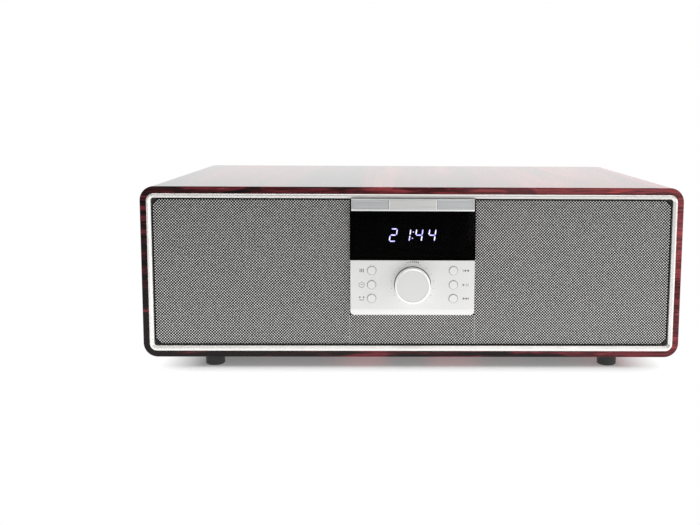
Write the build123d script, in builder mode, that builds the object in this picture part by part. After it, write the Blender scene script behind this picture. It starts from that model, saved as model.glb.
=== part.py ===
from build123d import *
import math
import os

os.makedirs("parts", exist_ok=True)

# ---------------------------------------------------------------- driving dimensions, millimetres
width = 570.0  # cabinet, side to side
height = 182.0  # cabinet, without its feet
depth = 340.0  # cabinet, front edge to back edge
wall = 9.0  # board that the cabinet is folded from
lip = 6.9  # wooden edge left standing in front of the rabbet
corner_radius = 15.0
cavity_radius = 6.0
foot_height = 11.0
foot_radius = 10.2
foot_spacing = 424.0
foot_inset = 16.0  # foot centre behind the front edge, and ahead of the back edge

knob_reach = 16.0  # knob face ahead of the cabinet's front edge
jack_reach = 7.0  # phono barrels behind the cabinet's back edge
front_y = knob_reach - (depth + knob_reach + jack_reach) / 2
back_y = front_y + depth
base_z = foot_height
mid_z = base_z + height / 2

unit_width = 130.8  # centre unit: tray strip, window and control panel
panel_bottom = 46.4  # heights above the cabinet's underside
panel_top = 105.1
window_top = 157.0
unit_top = 170.2
unit_proud = 4.0  # centre unit ahead of the cabinet's front edge

disc_radius = 60.0
disc_behind = 70.0  # disc centre behind the cabinet's front edge, tray closed
deck_pivot_behind = 165.0

speaker_x = 171.0
speaker_up = 90.0  # speaker axis above the cabinet's underside

pressure_angle = math.radians(20)
addendum = 0.8  # of the module: stub teeth
dedendum = 1.05
backlash = 0.2


# ---------------------------------------------------------------- places and helpers
def back_from_front(distance):
    """Y of a plane this far behind the cabinet's front edge."""
    return front_y + distance


def up(distance):
    """Z of a plane this far above the cabinet's underside."""
    return base_z + distance


def facing_front(distance):
    """Upright plane whose normal points to the front: local x is X, local y is Z."""
    return Plane.XZ.offset(-back_from_front(distance))


def facing_back(y):
    """Upright plane at a given Y with the same local axes as facing_front."""
    return Plane.XZ.offset(-y)


def level(distance):
    """Horizontal plane this far above the cabinet's underside."""
    return Plane.XY.offset(up(distance))


def save(piece, name):
    """Label the finished piece and write its file."""
    piece.part.label = name
    export_step(piece.part, f"parts/{name}.step")


def involute(angle):
    return math.tan(angle) - angle


def gear_outline(centre, teeth, module, phase=0.0):
    """Points round a spur gear of involute stub teeth; one tooth points at the phase angle."""
    pitch_radius = teeth * module / 2
    base_radius = pitch_radius * math.cos(pressure_angle)
    root_radius = pitch_radius - dedendum * module
    tip_radius = pitch_radius + addendum * module
    pitch_half_angle = (math.pi * module / 2 - backlash) / (2 * pitch_radius)

    def half_angle(radius):
        flank = math.acos(base_radius / max(radius, base_radius))
        return pitch_half_angle + involute(pressure_angle) - involute(flank)

    steps = 5
    flank_start = max(root_radius, base_radius)
    radii = [flank_start + (tip_radius - flank_start) * i / steps for i in range(steps + 1)]
    if root_radius < base_radius:
        radii.insert(0, root_radius)
    points = []
    for tooth in range(teeth):
        middle = phase + 2 * math.pi * tooth / teeth
        flanks = [(r, middle - half_angle(r)) for r in radii]
        flanks += [(r, middle + half_angle(r)) for r in reversed(radii)]
        points += [(centre[0] + r * math.cos(a), centre[1] + r * math.sin(a)) for r, a in flanks]
    return points


def rack_outline(pitch_x, back_x, first_y, last_y, mesh_y, module):
    """Points round a rack along Y: teeth point to -X, and a gap is centred on mesh_y."""
    pitch = math.pi * module
    slope = math.tan(pressure_angle)
    tip_x = pitch_x - addendum * module
    root_x = pitch_x + dedendum * module
    half = (pitch / 2 - backlash) / 2
    tip_half = half - addendum * module * slope
    root_half = half + dedendum * module * slope
    points = [(back_x, last_y), (back_x, first_y), (root_x, first_y)]
    number = math.ceil((first_y - mesh_y) / pitch)
    centre = mesh_y + (number + 0.5) * pitch
    while centre + root_half < last_y:
        points += [(root_x, centre - root_half), (tip_x, centre - tip_half)]
        points += [(tip_x, centre + tip_half), (root_x, centre + root_half)]
        centre += pitch
    points.append((root_x, last_y))
    return points


# ---------------------------------------------------------------- cabinet
# A sleeve of veneered board with round corners, rabbeted at the front for the silver
# frame and at the back for the rear panel.
rabbet_depth = 14.0
rear_lip = 5.0
rear_panel_thick = 9.0
rear_recess = 2.0
screw_pilot = 1.75
foot_screw_depth = 8.0
edge_round = 1.0
foot_places = [(x, y) for x in (-foot_spacing / 2, foot_spacing / 2)
               for y in (back_from_front(foot_inset), back_y - foot_inset)]

with BuildPart() as cabinet_shell:
    with BuildSketch(facing_front(0)):
        with Locations((0, mid_z)):
            RectangleRounded(width, height, corner_radius)
            RectangleRounded(width - 2 * wall, height - 2 * wall, cavity_radius, mode=Mode.SUBTRACT)
    extrude(amount=-depth)
    with BuildSketch(facing_front(0)):
        with Locations((0, mid_z)):
            RectangleRounded(width - 2 * lip, height - 2 * lip, corner_radius - lip)
    extrude(amount=-rabbet_depth, mode=Mode.SUBTRACT)
    with BuildSketch(facing_back(back_y)):
        with Locations((0, mid_z)):
            RectangleRounded(width - 2 * rear_lip, height - 2 * rear_lip, corner_radius - rear_lip)
    extrude(amount=rear_panel_thick + rear_recess, mode=Mode.SUBTRACT)
    fillet(cabinet_shell.faces().sort_by(Axis.Y)[0].outer_wire().edges(), edge_round)
    fillet(cabinet_shell.faces().sort_by(Axis.Y)[-1].outer_wire().edges(), edge_round)
    with Locations(*[(x, y, base_z) for x, y in foot_places]):
        Cylinder(screw_pilot, 2 * foot_screw_depth, mode=Mode.SUBTRACT)
save(cabinet_shell, "cabinet_shell")

# Four rubber feet, each with a counterbored hole for its screw.
foot_bevel = 1.0
foot_hole = 2.0
foot_counterbore = (4.5, 6.0)  # radius and depth

with BuildPart() as feet:
    with BuildSketch(Plane.XY):
        with Locations(*foot_places):
            Circle(foot_radius)
    extrude(amount=foot_height)
    chamfer(feet.faces().group_by(Axis.Z)[0].edges(), foot_bevel)
    with Locations(*foot_places):
        Cylinder(foot_counterbore[0], 2 * foot_counterbore[1], mode=Mode.SUBTRACT)
        Cylinder(foot_hole, 3 * foot_height, mode=Mode.SUBTRACT)
save(feet, "feet")

# ---------------------------------------------------------------- silver front frame
# A moulded ring in the front rabbet. Its face slopes inwards to the grille.
frame_gap = 0.3
frame_proud = 3.5
frame_depth = 10.0
frame_round = 2.2
opening_width = 546.4
opening_height = 157.6
opening_up = 91.45  # centre of the opening above the cabinet's underside
opening_radius = 3.0
slope_reach = 2.4
slope_depth = 2.2

with BuildPart() as front_frame:
    with BuildSketch(facing_front(-frame_proud)):
        with Locations((0, mid_z)):
            RectangleRounded(width - 2 * lip - 2 * frame_gap, height - 2 * lip - 2 * frame_gap,
                             corner_radius - lip - frame_gap)
    extrude(amount=-(frame_proud + frame_depth))
    fillet(front_frame.faces().sort_by(Axis.Y)[0].edges(), frame_round)
    with BuildSketch(facing_front(-frame_proud)):
        with Locations((0, up(opening_up))):
            RectangleRounded(opening_width, opening_height, opening_radius)
    extrude(amount=-(frame_proud + frame_depth), mode=Mode.SUBTRACT)
    with BuildSketch(facing_front(-frame_proud)):
        with Locations((0, up(opening_up))):
            RectangleRounded(opening_width + 2 * slope_reach, opening_height + 2 * slope_reach,
                             opening_radius + slope_reach)
    with BuildSketch(facing_front(-frame_proud + slope_depth)):
        with Locations((0, up(opening_up))):
            RectangleRounded(opening_width, opening_height, opening_radius)
    loft(mode=Mode.SUBTRACT)
save(front_frame, "front_frame")

# ---------------------------------------------------------------- baffle
# The board behind the grille, with a round hole for each speaker and a notch for the
# centre unit and the disc loader.
baffle_front = 14.0
baffle_thick = 9.0
baffle_gap = 0.3
speaker_hole = 60.0
notch_width = 133.0
notch_bottom = 44.0
bolt_circle = 66.5
peg_radius = 2.5
peg_places = [(x, z) for x in (-269.4, 269.4) for z in (22.0, 158.0)]
peg_places += [(x, z) for x in (-71.0, 71.0) for z in (60.0, 158.0)]
speaker_sides = {"left": -speaker_x, "right": speaker_x}

with BuildPart() as baffle:
    with BuildSketch(facing_front(baffle_front)):
        with Locations((0, mid_z)):
            RectangleRounded(width - 2 * wall - 2 * baffle_gap, height - 2 * wall - 2 * baffle_gap,
                             cavity_radius - baffle_gap)
        with Locations((0, up(notch_bottom))):
            Rectangle(notch_width, height, align=(Align.CENTER, Align.MIN), mode=Mode.SUBTRACT)
        for x in speaker_sides.values():
            with Locations((x, up(speaker_up))):
                Circle(speaker_hole, mode=Mode.SUBTRACT)
                with PolarLocations(bolt_circle, 4, start_angle=45):
                    Circle(screw_pilot, mode=Mode.SUBTRACT)
        with Locations(*[(x, up(z)) for x, z in peg_places]):
            Circle(peg_radius + 0.1, mode=Mode.SUBTRACT)
    extrude(amount=-baffle_thick)
save(baffle, "baffle")

# ---------------------------------------------------------------- grille
# A black frame with windows in front of the speakers, pegged into the baffle, and the
# woven mesh stretched over it. Both are cut out for the centre unit.
grille_gap = 1.2
mesh_front = 1.0
mesh_thick = 0.6
mesh_corner = 8.0
grille_frame_gap = 0.4
peg_length = 8.0
grille_frame_front = 2.0
grille_frame_depth = 8.6
rib_depth = 3.4
unit_gap = 0.8
bay_width = 59.0
bay_pitch = 65.5
bay_height = 141.0
bay_centre = 171.0
below_width = 124.0
below_height = 19.0
below_centre = 28.5


def grille_sketch_outline(side_gap, radius):
    """Outline shared by the mesh and its frame, in the sketch that is open."""
    with Locations((0, up(opening_up))):
        RectangleRounded(opening_width - 2 * side_gap, opening_height - 2 * side_gap, radius)
    with Locations((0, up(panel_bottom - unit_gap))):
        Rectangle(unit_width + 2 * unit_gap, height, align=(Align.CENTER, Align.MIN),
                  mode=Mode.SUBTRACT)


with BuildPart() as grille_mesh:
    with BuildSketch(facing_front(mesh_front)):
        grille_sketch_outline(grille_gap, mesh_corner)
    extrude(amount=-mesh_thick)
save(grille_mesh, "grille_mesh")

with BuildPart() as grille_frame:
    with BuildSketch(facing_front(grille_frame_front)):
        grille_sketch_outline(grille_frame_gap, opening_radius - grille_frame_gap)
        with Locations((-bay_centre, up(opening_up)), (bay_centre, up(opening_up))):
            Rectangle(3 * bay_width + 2 * (bay_pitch - bay_width), bay_height, mode=Mode.SUBTRACT)
        with Locations((0, up(below_centre))):
            Rectangle(below_width, below_height, mode=Mode.SUBTRACT)
    extrude(amount=-grille_frame_depth)
    with BuildSketch(facing_front(grille_frame_front)):
        for side in (-bay_centre, bay_centre):
            with Locations((side - bay_pitch / 2, up(opening_up)), (side + bay_pitch / 2, up(opening_up))):
                Rectangle(bay_pitch - bay_width, bay_height)
    extrude(amount=-rib_depth)
    with BuildSketch(facing_front(grille_frame_front + grille_frame_depth)):
        with Locations(*[(x, up(z)) for x, z in peg_places]):
            Circle(peg_radius)
    extrude(amount=-peg_length)
save(grille_frame, "grille_frame")

# ---------------------------------------------------------------- loudspeakers
# Each driver hangs behind the baffle: a basket with its flange, a magnet with the pole
# inside, a moving cone with dust cap and coil former, and the roll surround.
flange_radius = 69.0
flange_inner = 56.0
flange_thick = 3.0
cone_edge = 47.7
coil_inner = 12.5
coil_outer = 13.1
driver_back = baffle_front + baffle_thick  # flange plane behind the cabinet's front edge
plate_front = 61.0
cone_front = 22.0
neck_back = 45.0
coil_back = 72.0
basket_shoulder = 57.5
basket_sheet = 1.5
basket_hole = 18.0
window_circle = 42.5
window_slot = (34.0, 13.0)
bolt_hole = 2.2
pole_radius = 11.9
pole_gap = 14.0
top_plate = (32.0, 5.0)  # radius and thickness
magnet_ring = (41.0, 15.0)
back_plate = (34.0, 5.0)
magnet_front = plate_front + top_plate[1]
magnet_back = magnet_front + magnet_ring[1]
pole_back = magnet_back + back_plate[1]


def speaker_section(x):
    """Plane through a speaker's axis: local x is the radius, local y runs backwards."""
    return Plane(origin=(x, front_y, up(speaker_up)), x_dir=(1, 0, 0), z_dir=(0, 0, 1))


def speaker_axis(x):
    return Axis((x, front_y, up(speaker_up)), (0, 1, 0))


for side, x in speaker_sides.items():
    with BuildPart() as basket:
        with BuildSketch(speaker_section(x)):
            with BuildLine():
                Polyline((flange_inner, driver_back), (flange_radius, driver_back),
                         (flange_radius, driver_back + flange_thick),
                         (basket_shoulder, driver_back + flange_thick), (top_plate[0], plate_front),
                         (basket_hole, plate_front), (basket_hole, plate_front - basket_sheet),
                         (top_plate[0] - 1.0, plate_front - basket_sheet),
                         (flange_inner, driver_back + flange_thick - 1.0), close=True)
            make_face()
        revolve(axis=speaker_axis(x))
        with BuildSketch(facing_front(driver_back + 7.0)):
            with Locations((x, up(speaker_up))):
                with PolarLocations(window_circle, 4):
                    SlotOverall(*window_slot, rotation=90)
        extrude(amount=-window_slot[0], mode=Mode.SUBTRACT)
        with BuildSketch(facing_front(driver_back)):
            with Locations((x, up(speaker_up))):
                with PolarLocations(bolt_circle, 4, start_angle=45):
                    Circle(bolt_hole)
        extrude(amount=-flange_thick, mode=Mode.SUBTRACT)
    save(basket, f"speaker_basket_{side}")

with BuildPart() as speaker_magnets:
    for x in speaker_sides.values():
        with BuildSketch(speaker_section(x)):
            with BuildLine():
                Polyline((pole_gap, plate_front), (top_plate[0], plate_front), (top_plate[0], magnet_front),
                         (magnet_ring[0], magnet_front), (magnet_ring[0], magnet_back),
                         (back_plate[0], magnet_back), (back_plate[0], pole_back), (0, pole_back),
                         (0, plate_front - 1.0), (pole_radius, plate_front - 1.0),
                         (pole_radius, magnet_back - 1.0), (pole_gap, magnet_back - 1.0), close=True)
            make_face()
        revolve(axis=speaker_axis(x))
save(speaker_magnets, "speaker_magnets")

# Cone, dust cap and coil former turn as one profile; the cap is part of a sphere.
cap_centre = 60.5
cap_radius = 23.5
cap_edge = 15.0
cone_thick = 1.0


def cap_point(radius, shell):
    """Point on the dust cap at this distance from the axis, this far inside its front."""
    sphere = cap_radius - shell
    return (radius, cap_centre - math.sqrt(sphere ** 2 - radius ** 2))


for side, x in speaker_sides.items():
    with BuildPart() as cone:
        with BuildSketch(speaker_section(x)):
            with BuildLine():
                ThreePointArc(cap_point(0, 0), cap_point(cap_edge / 2, 0), cap_point(cap_edge, 0))
                Polyline(cap_point(cap_edge, 0), (cone_edge - 1.5, cone_front), (cone_edge, cone_front),
                         (cone_edge, cone_front + cone_thick), (coil_outer, neck_back + 1.6),
                         (coil_outer, coil_back), (coil_inner, coil_back),
                         cap_point(coil_inner, cone_thick))
                ThreePointArc(cap_point(coil_inner, cone_thick), cap_point(coil_inner / 2, cone_thick),
                              cap_point(0, cone_thick))
                Line(cap_point(0, cone_thick), cap_point(0, 0))
            make_face()
        revolve(axis=speaker_axis(x))
    save(cone, f"speaker_cone_{side}")

roll_middle = 52.5
roll_inner = 48.0
roll_outer = 57.0
roll_rise = 4.5
surround_rim = 59.5
surround_thick = 1.0
with BuildPart() as speaker_surrounds:
    for x in speaker_sides.values():
        with BuildSketch(speaker_section(x)):
            with BuildLine():
                roll_back = cone_front + surround_thick
                front_roll = ThreePointArc((roll_outer, cone_front), (roll_middle, cone_front - roll_rise),
                                           (roll_inner, cone_front))
                back_roll = ThreePointArc((roll_inner + surround_thick, roll_back),
                                          (roll_middle, roll_back - roll_rise),
                                          (roll_outer - surround_thick, roll_back))
                Polyline(front_roll @ 1, (roll_inner, roll_back), back_roll @ 0)
                Polyline(back_roll @ 1, (surround_rim, roll_back), (surround_rim, cone_front),
                         front_roll @ 0)
            make_face()
        revolve(axis=speaker_axis(x))
save(speaker_surrounds, "speaker_surrounds")

# ---------------------------------------------------------------- centre unit
# Silver-white control panel, black window above it, a black carrier behind both and the
# circuit board with the clock display, the switches and the knob's encoder.
knob_up = 79.6
knob_radius = 18.5
button_up = (94.4, 79.2, 64.6)
button_x = 43.0
button_radius = 4.4
button_gap = 0.4
button_proud = 1.0
button_cap = 3.6
button_rim = 1.1
button_round = 0.5
switch_size = 6.0
switch_depth = 3.4
plunger_radius = 1.6
panel_thick = 2.4
panel_skirt = 15.0
skirt_wall = 2.0
panel_corner = 4.0
lip_high = 6.4  # the lower lip leans back from here down
lip_lean = 2.2
spare = 1.0  # cutters reach this far past the faces that they open
knob_hole = 5.2
boss_radius = 3.0
boss_bore = 1.25
board_front = 9.0
board_thick = 1.6
panel_back = -unit_proud + panel_thick
button_places = {"menu": (-button_x, button_up[0]), "power": (-button_x, button_up[1]),
                 "source": (-button_x, button_up[2]), "previous": (button_x, button_up[0]),
                 "play": (button_x, button_up[1]), "next": (button_x, button_up[2])}
boss_places = [(x, z) for x in (-56.0, 56.0) for z in (53.6, 101.5)]


def panel_sketch(inset):
    """Panel outline in the open sketch: square at the top, round at the bottom corners."""
    low = panel_bottom + inset
    with Locations((0, up(low))):
        RectangleRounded(unit_width - 2 * inset, 2 * (panel_top - low), panel_corner - inset,
                         align=(Align.CENTER, Align.MIN))
    with Locations((0, up(panel_top))):
        Rectangle(unit_width, 2 * (panel_top - low), align=(Align.CENTER, Align.MIN), mode=Mode.SUBTRACT)


with BuildPart() as control_panel:
    with BuildSketch(facing_front(-unit_proud)):
        panel_sketch(0)
    extrude(amount=-panel_skirt)
    with BuildSketch(facing_front(panel_back)):
        panel_sketch(skirt_wall)
    extrude(amount=-panel_skirt, mode=Mode.SUBTRACT)
    with BuildSketch(Plane.YZ.offset(-unit_width / 2 - spare)):
        with BuildLine():
            Polyline((back_from_front(-unit_proud - spare), up(panel_bottom + lip_high)),
                     (back_from_front(-unit_proud), up(panel_bottom + lip_high)),
                     (back_from_front(-unit_proud + lip_lean), up(panel_bottom)),
                     (back_from_front(-unit_proud + lip_lean), up(panel_bottom - spare)),
                     (back_from_front(-unit_proud - spare), up(panel_bottom - spare)), close=True)
        make_face()
    extrude(amount=unit_width + 2 * spare, mode=Mode.SUBTRACT)
    with BuildSketch(facing_front(-unit_proud)):
        with Locations(*[(x, up(z)) for x, z in button_places.values()]):
            Circle(button_radius + button_gap)
        with Locations((0, up(knob_up))):
            Circle(knob_hole)
    extrude(amount=-panel_skirt, mode=Mode.SUBTRACT)
    with BuildSketch(facing_front(panel_back)):
        with Locations(*[(x, up(z)) for x, z in boss_places]):
            Circle(boss_radius)
            Circle(boss_bore, mode=Mode.SUBTRACT)
    extrude(amount=-(board_front - panel_back))
save(control_panel, "control_panel")

window_step = 0.2  # window face behind the panel's face
window_thick = 2.5
window_low = panel_top + 0.1
with BuildPart() as display_window:
    with BuildSketch(facing_front(-unit_proud + window_step)):
        with Locations((0, (up(window_low) + up(window_top)) / 2)):
            Rectangle(unit_width - 0.2, window_top - window_low)
    extrude(amount=-window_thick)
    chamfer(display_window.faces().sort_by(Axis.Y)[0].edges(), 0.3)
save(display_window, "display_window")

display_up = 132.0
display_size = (74.0, 26.0)
display_front = -0.8
display_clearance = 1.0
carrier_low = panel_top + 0.3
carrier_width = unit_width - 4.0
carrier_height = window_top - carrier_low
carrier_front = -unit_proud + window_step + window_thick
carrier_face = 2.0
carrier_wall = 1.5
carrier_flange = 2.0
with BuildPart() as window_carrier:
    with BuildSketch(facing_front(carrier_front)):
        with Locations((0, up(carrier_low + carrier_height / 2))):
            Rectangle(carrier_width, carrier_height)
        with Locations((0, up(display_up))):
            Rectangle(display_size[0] + 2 * display_clearance, display_size[1] + 2 * display_clearance,
                      mode=Mode.SUBTRACT)
    extrude(amount=-carrier_face)
    with BuildSketch(facing_front(carrier_front + carrier_face)):
        with Locations((0, up(carrier_low + carrier_height / 2))):
            Rectangle(carrier_width, carrier_height)
            Rectangle(carrier_width - 2 * carrier_wall, carrier_height - 2 * carrier_flange,
                      mode=Mode.SUBTRACT)
    extrude(amount=-(board_front - carrier_front - carrier_face))
save(window_carrier, "window_carrier")

front_board_size = (120.0, 104.0)
front_board_up = 102.4
with BuildPart() as front_board:
    with BuildSketch(facing_front(board_front)):
        with Locations((0, up(front_board_up))):
            Rectangle(*front_board_size)
        with Locations(*[(x, up(z)) for x, z in boss_places]):
            Circle(boss_bore + 0.15, mode=Mode.SUBTRACT)
    extrude(amount=-board_thick)
save(front_board, "front_board")

with BuildPart() as clock_display:
    with BuildSketch(facing_front(display_front)):
        with Locations((0, up(display_up))):
            Rectangle(*display_size)
    extrude(amount=-(board_front - display_front))
    chamfer(clock_display.faces().sort_by(Axis.Y)[0].edges(), 0.5)
save(clock_display, "clock_display")

# Tactile switches behind the buttons and the encoder's body with its bush.
shaft_radius = 2.97
encoder_size = 13.0
encoder_front = 2.4
bush_radius = 4.5
bush_front = -3.2
plunger_front = board_front - switch_depth - 1.0
with BuildPart() as front_board_parts:
    with BuildSketch(facing_front(board_front)):
        with Locations(*[(x, up(z)) for x, z in button_places.values()]):
            Rectangle(switch_size, switch_size)
    extrude(amount=switch_depth)
    with BuildSketch(facing_front(plunger_front)):
        with Locations(*[(x, up(z)) for x, z in button_places.values()]):
            Circle(plunger_radius)
    extrude(amount=plunger_front + switch_depth - board_front)
    with BuildSketch(facing_front(encoder_front)):
        with Locations((0, up(knob_up))):
            Rectangle(encoder_size, encoder_size)
    extrude(amount=-(board_front - encoder_front))
    with BuildSketch(facing_front(bush_front)):
        with Locations((0, up(knob_up))):
            Circle(bush_radius)
    extrude(amount=-(encoder_front - bush_front))
    with BuildSketch(facing_front(bush_front)):
        with Locations((0, up(knob_up))):
            Circle(shaft_radius + 0.05)
    extrude(amount=-(encoder_front + 1.2 - bush_front), mode=Mode.SUBTRACT)
save(front_board_parts, "front_board_parts")

# Each cap stands in its hole and has a rim behind the panel and a stem that reaches its
# switch.
rim_thick = 0.8
rim_front = -unit_proud - button_proud + button_cap
stem_radius = 1.5
stem_clearance = 0.65  # more than the press
for name, (x, z) in button_places.items():
    with BuildPart() as button:
        with BuildSketch(facing_front(-unit_proud - button_proud)):
            with Locations((x, up(z))):
                Circle(button_radius)
        extrude(amount=-button_cap)
        fillet(button.faces().sort_by(Axis.Y)[0].edges(), button_round)
        with BuildSketch(facing_front(rim_front)):
            with Locations((x, up(z))):
                Circle(button_radius + button_rim)
        extrude(amount=-rim_thick)
        with BuildSketch(facing_front(rim_front + rim_thick)):
            with Locations((x, up(z))):
                Circle(stem_radius)
        extrude(amount=-(plunger_front - rim_front - rim_thick - stem_clearance))
    save(button, f"button_{name}")

# Knob in its dark ring, on the encoder's shaft.
ring_outer = 20.2
ring_inner = 15.5
ring_thick = 0.6
with BuildPart() as knob_ring:
    with BuildSketch(facing_front(-unit_proud - ring_thick)):
        with Locations((0, up(knob_up))):
            Circle(ring_outer)
            Circle(ring_inner, mode=Mode.SUBTRACT)
    extrude(amount=-ring_thick)
save(knob_ring, "knob_ring")

knob_back = -unit_proud - 1.0
knob_bevel = 1.4
knob_dish = (knob_radius - 2.2, 0.35)  # radius and depth of the sunk face
knob_wall = 2.5
knob_hollow = 7.0
knob_hub = 6.0
shaft_socket = (3.0, 7.6)
shaft_front = -unit_proud - 8.0
shaft_length = 15.2
with BuildPart() as volume_knob:
    with BuildSketch(facing_front(-knob_reach)):
        with Locations((0, up(knob_up))):
            Circle(knob_radius)
    extrude(amount=-(knob_reach + knob_back))
    chamfer(volume_knob.faces().sort_by(Axis.Y)[0].edges(), knob_bevel)
    with BuildSketch(facing_front(-knob_reach)):
        with Locations((0, up(knob_up))):
            Circle(knob_dish[0])
    extrude(amount=-knob_dish[1], mode=Mode.SUBTRACT)
    with BuildSketch(facing_front(knob_back)):
        with Locations((0, up(knob_up))):
            Circle(knob_radius - knob_wall)
            Circle(knob_hub, mode=Mode.SUBTRACT)
    extrude(amount=knob_hollow, mode=Mode.SUBTRACT)
    with BuildSketch(facing_front(knob_back)):
        with Locations((0, up(knob_up))):
            Circle(shaft_socket[0])
    extrude(amount=shaft_socket[1], mode=Mode.SUBTRACT)
save(volume_knob, "volume_knob")

with BuildPart() as encoder_shaft:
    with BuildSketch(facing_front(shaft_front)):
        with Locations((0, up(knob_up))):
            Circle(shaft_radius)
    extrude(amount=-shaft_length)
save(encoder_shaft, "encoder_shaft")

# ---------------------------------------------------------------- disc tray
# A flat tray with a disc recess and a smaller one inside it. Its slot is open to the
# back, so the turntable and the pickup stand in it without touching. The rack under its
# right edge is driven by the loader.
tray_bottom = 160.4
tray_thick = 6.0
tray_floor = 2.2
tray_width = 128.0
tray_front_behind = 4.0
tray_back_behind = 183.0
slot_radius = 22.0
strip_low = window_top + 0.3
strip_high = unit_top - 0.2
strip_thick = 8.0
strip_width = unit_width - 2.0
strip_bevel = 0.8
strip_rim = (1.6, 1.4)  # rim of the sunk face at its ends and along its bottom
strip_sunk = 0.9
disc_recess = disc_radius + 0.5
small_recess = 40.5  # for discs of 80 millimetres
recess_step = 0.6
well_places = (43.0, 150.0)
well_size = (32.0, 46.0)
rack_outer = 62.0
rack_ahead = 6.0

gear_module = 1.0
drive_teeth = 24
pinion_teeth = 12
drive_x = 45.0
pulley_x = 27.0
motor_x = -8.0
gears_behind = 39.0
drive_centre = (drive_x, back_from_front(gears_behind))
pulley_centre = (pulley_x, back_from_front(gears_behind))
motor_centre = (motor_x, back_from_front(gears_behind))
rack_low = window_top + 0.4
rack_pitch_x = drive_x + drive_teeth * gear_module / 2

with BuildPart() as disc_tray:
    with BuildSketch(level(tray_bottom)):
        with Locations((0, back_from_front(tray_front_behind))):
            Rectangle(tray_width, tray_back_behind - tray_front_behind, align=(Align.CENTER, Align.MIN))
    extrude(amount=tray_thick)
    with BuildSketch(level(tray_bottom + tray_floor)):
        with Locations((0, back_from_front(disc_behind))):
            Circle(disc_recess)
    extrude(amount=tray_thick, mode=Mode.SUBTRACT)
    with BuildSketch(level(tray_bottom + tray_floor - recess_step)):
        with Locations((0, back_from_front(disc_behind))):
            Circle(small_recess)
    extrude(amount=tray_thick, mode=Mode.SUBTRACT)
    with BuildSketch(level(tray_bottom - spare)):
        with Locations((0, back_from_front(disc_behind))):
            Circle(slot_radius)
            Rectangle(2 * slot_radius, tray_back_behind, align=(Align.CENTER, Align.MIN))
    extrude(amount=tray_thick + 2 * spare, mode=Mode.SUBTRACT)
    with BuildSketch(level(tray_bottom + tray_floor)):
        with Locations(*[(x, back_from_front(well_places[1])) for x in (-well_places[0], well_places[0])]):
            RectangleRounded(*well_size, 3.0)
    extrude(amount=tray_thick, mode=Mode.SUBTRACT)
    with BuildSketch(level(rack_low)):
        with BuildLine():
            Polyline(*rack_outline(rack_pitch_x, rack_outer, back_from_front(gears_behind - rack_ahead),
                                   back_from_front(tray_back_behind), back_from_front(gears_behind),
                                   gear_module), close=True)
        make_face()
    extrude(amount=tray_bottom - rack_low)
save(disc_tray, "disc_tray")

with BuildPart() as tray_front:
    with BuildSketch(facing_front(-unit_proud)):
        with Locations((0, (up(strip_low) + up(strip_high)) / 2)):
            Rectangle(strip_width, strip_high - strip_low)
    extrude(amount=-strip_thick)
    top_edges = tray_front.faces().sort_by(Axis.Z)[-1].edges()
    chamfer(top_edges.sort_by(Axis.Y)[0], strip_bevel)
    with BuildSketch(facing_front(-unit_proud)):
        with Locations((0, up(strip_high - strip_bevel))):
            Rectangle(strip_width - 2 * strip_rim[0], strip_high - strip_bevel - strip_low - strip_rim[1],
                      align=(Align.CENTER, Align.MAX))
    extrude(amount=-strip_sunk, mode=Mode.SUBTRACT)
save(tray_front, "tray_front")

# ---------------------------------------------------------------- disc loader
# Chassis: a shallow tub with ledges that the tray runs on, posts for the gears and two
# lugs that hold the traverse deck's pivot pins.
chassis_front = 24.0
chassis_back = 206.0
chassis_low = 138.4
chassis_floor = 2.5
chassis_half = 69.0
chassis_side = 4.0
chassis_top = 168.9
chassis_window = (94.0, 53.0, 107.0)  # width, front edge behind the cabinet's front, length
chassis_rear = (3.0, 15.0)  # thickness and height of the rear wall
ledge_inner = 62.5
ledge_outer = 65.5
ledge_thick = 2.6
ledge_low = tray_bottom - ledge_thick - 0.2
lug_x = 49.75
lug_size = (4.5, 12.0, 19.0)
deck_half = 44.0
deck_low = 152.4
deck_thick = 1.5
deck_front = 55.0
deck_back = 168.0
pivot_up = deck_low + deck_thick / 2
gear_low = 152.4
gear_high = 159.9
post_radius = {"drive": 2.5, "pulley": 2.0}
pivot_radius = 2.0
running = 0.05
upwards = (Align.CENTER, Align.CENTER, Align.MIN)
downwards = (Align.CENTER, Align.CENTER, Align.MAX)
chassis_length = chassis_back - chassis_front
bridge_front = 52.0
bridge_back = 88.0
bridge_screws = [(x, y) for x in (-67.0, 67.0) for y in (bridge_front + 6.0, bridge_back - 6.0)]
bracket_screws = [(x, y) for x in (-60.0, 60.0) for y in (100.0, 190.0)]
screw_hole = 1.65
bridge_pilot = (1.15, 8.0)
motor_hole = 3.0

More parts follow.
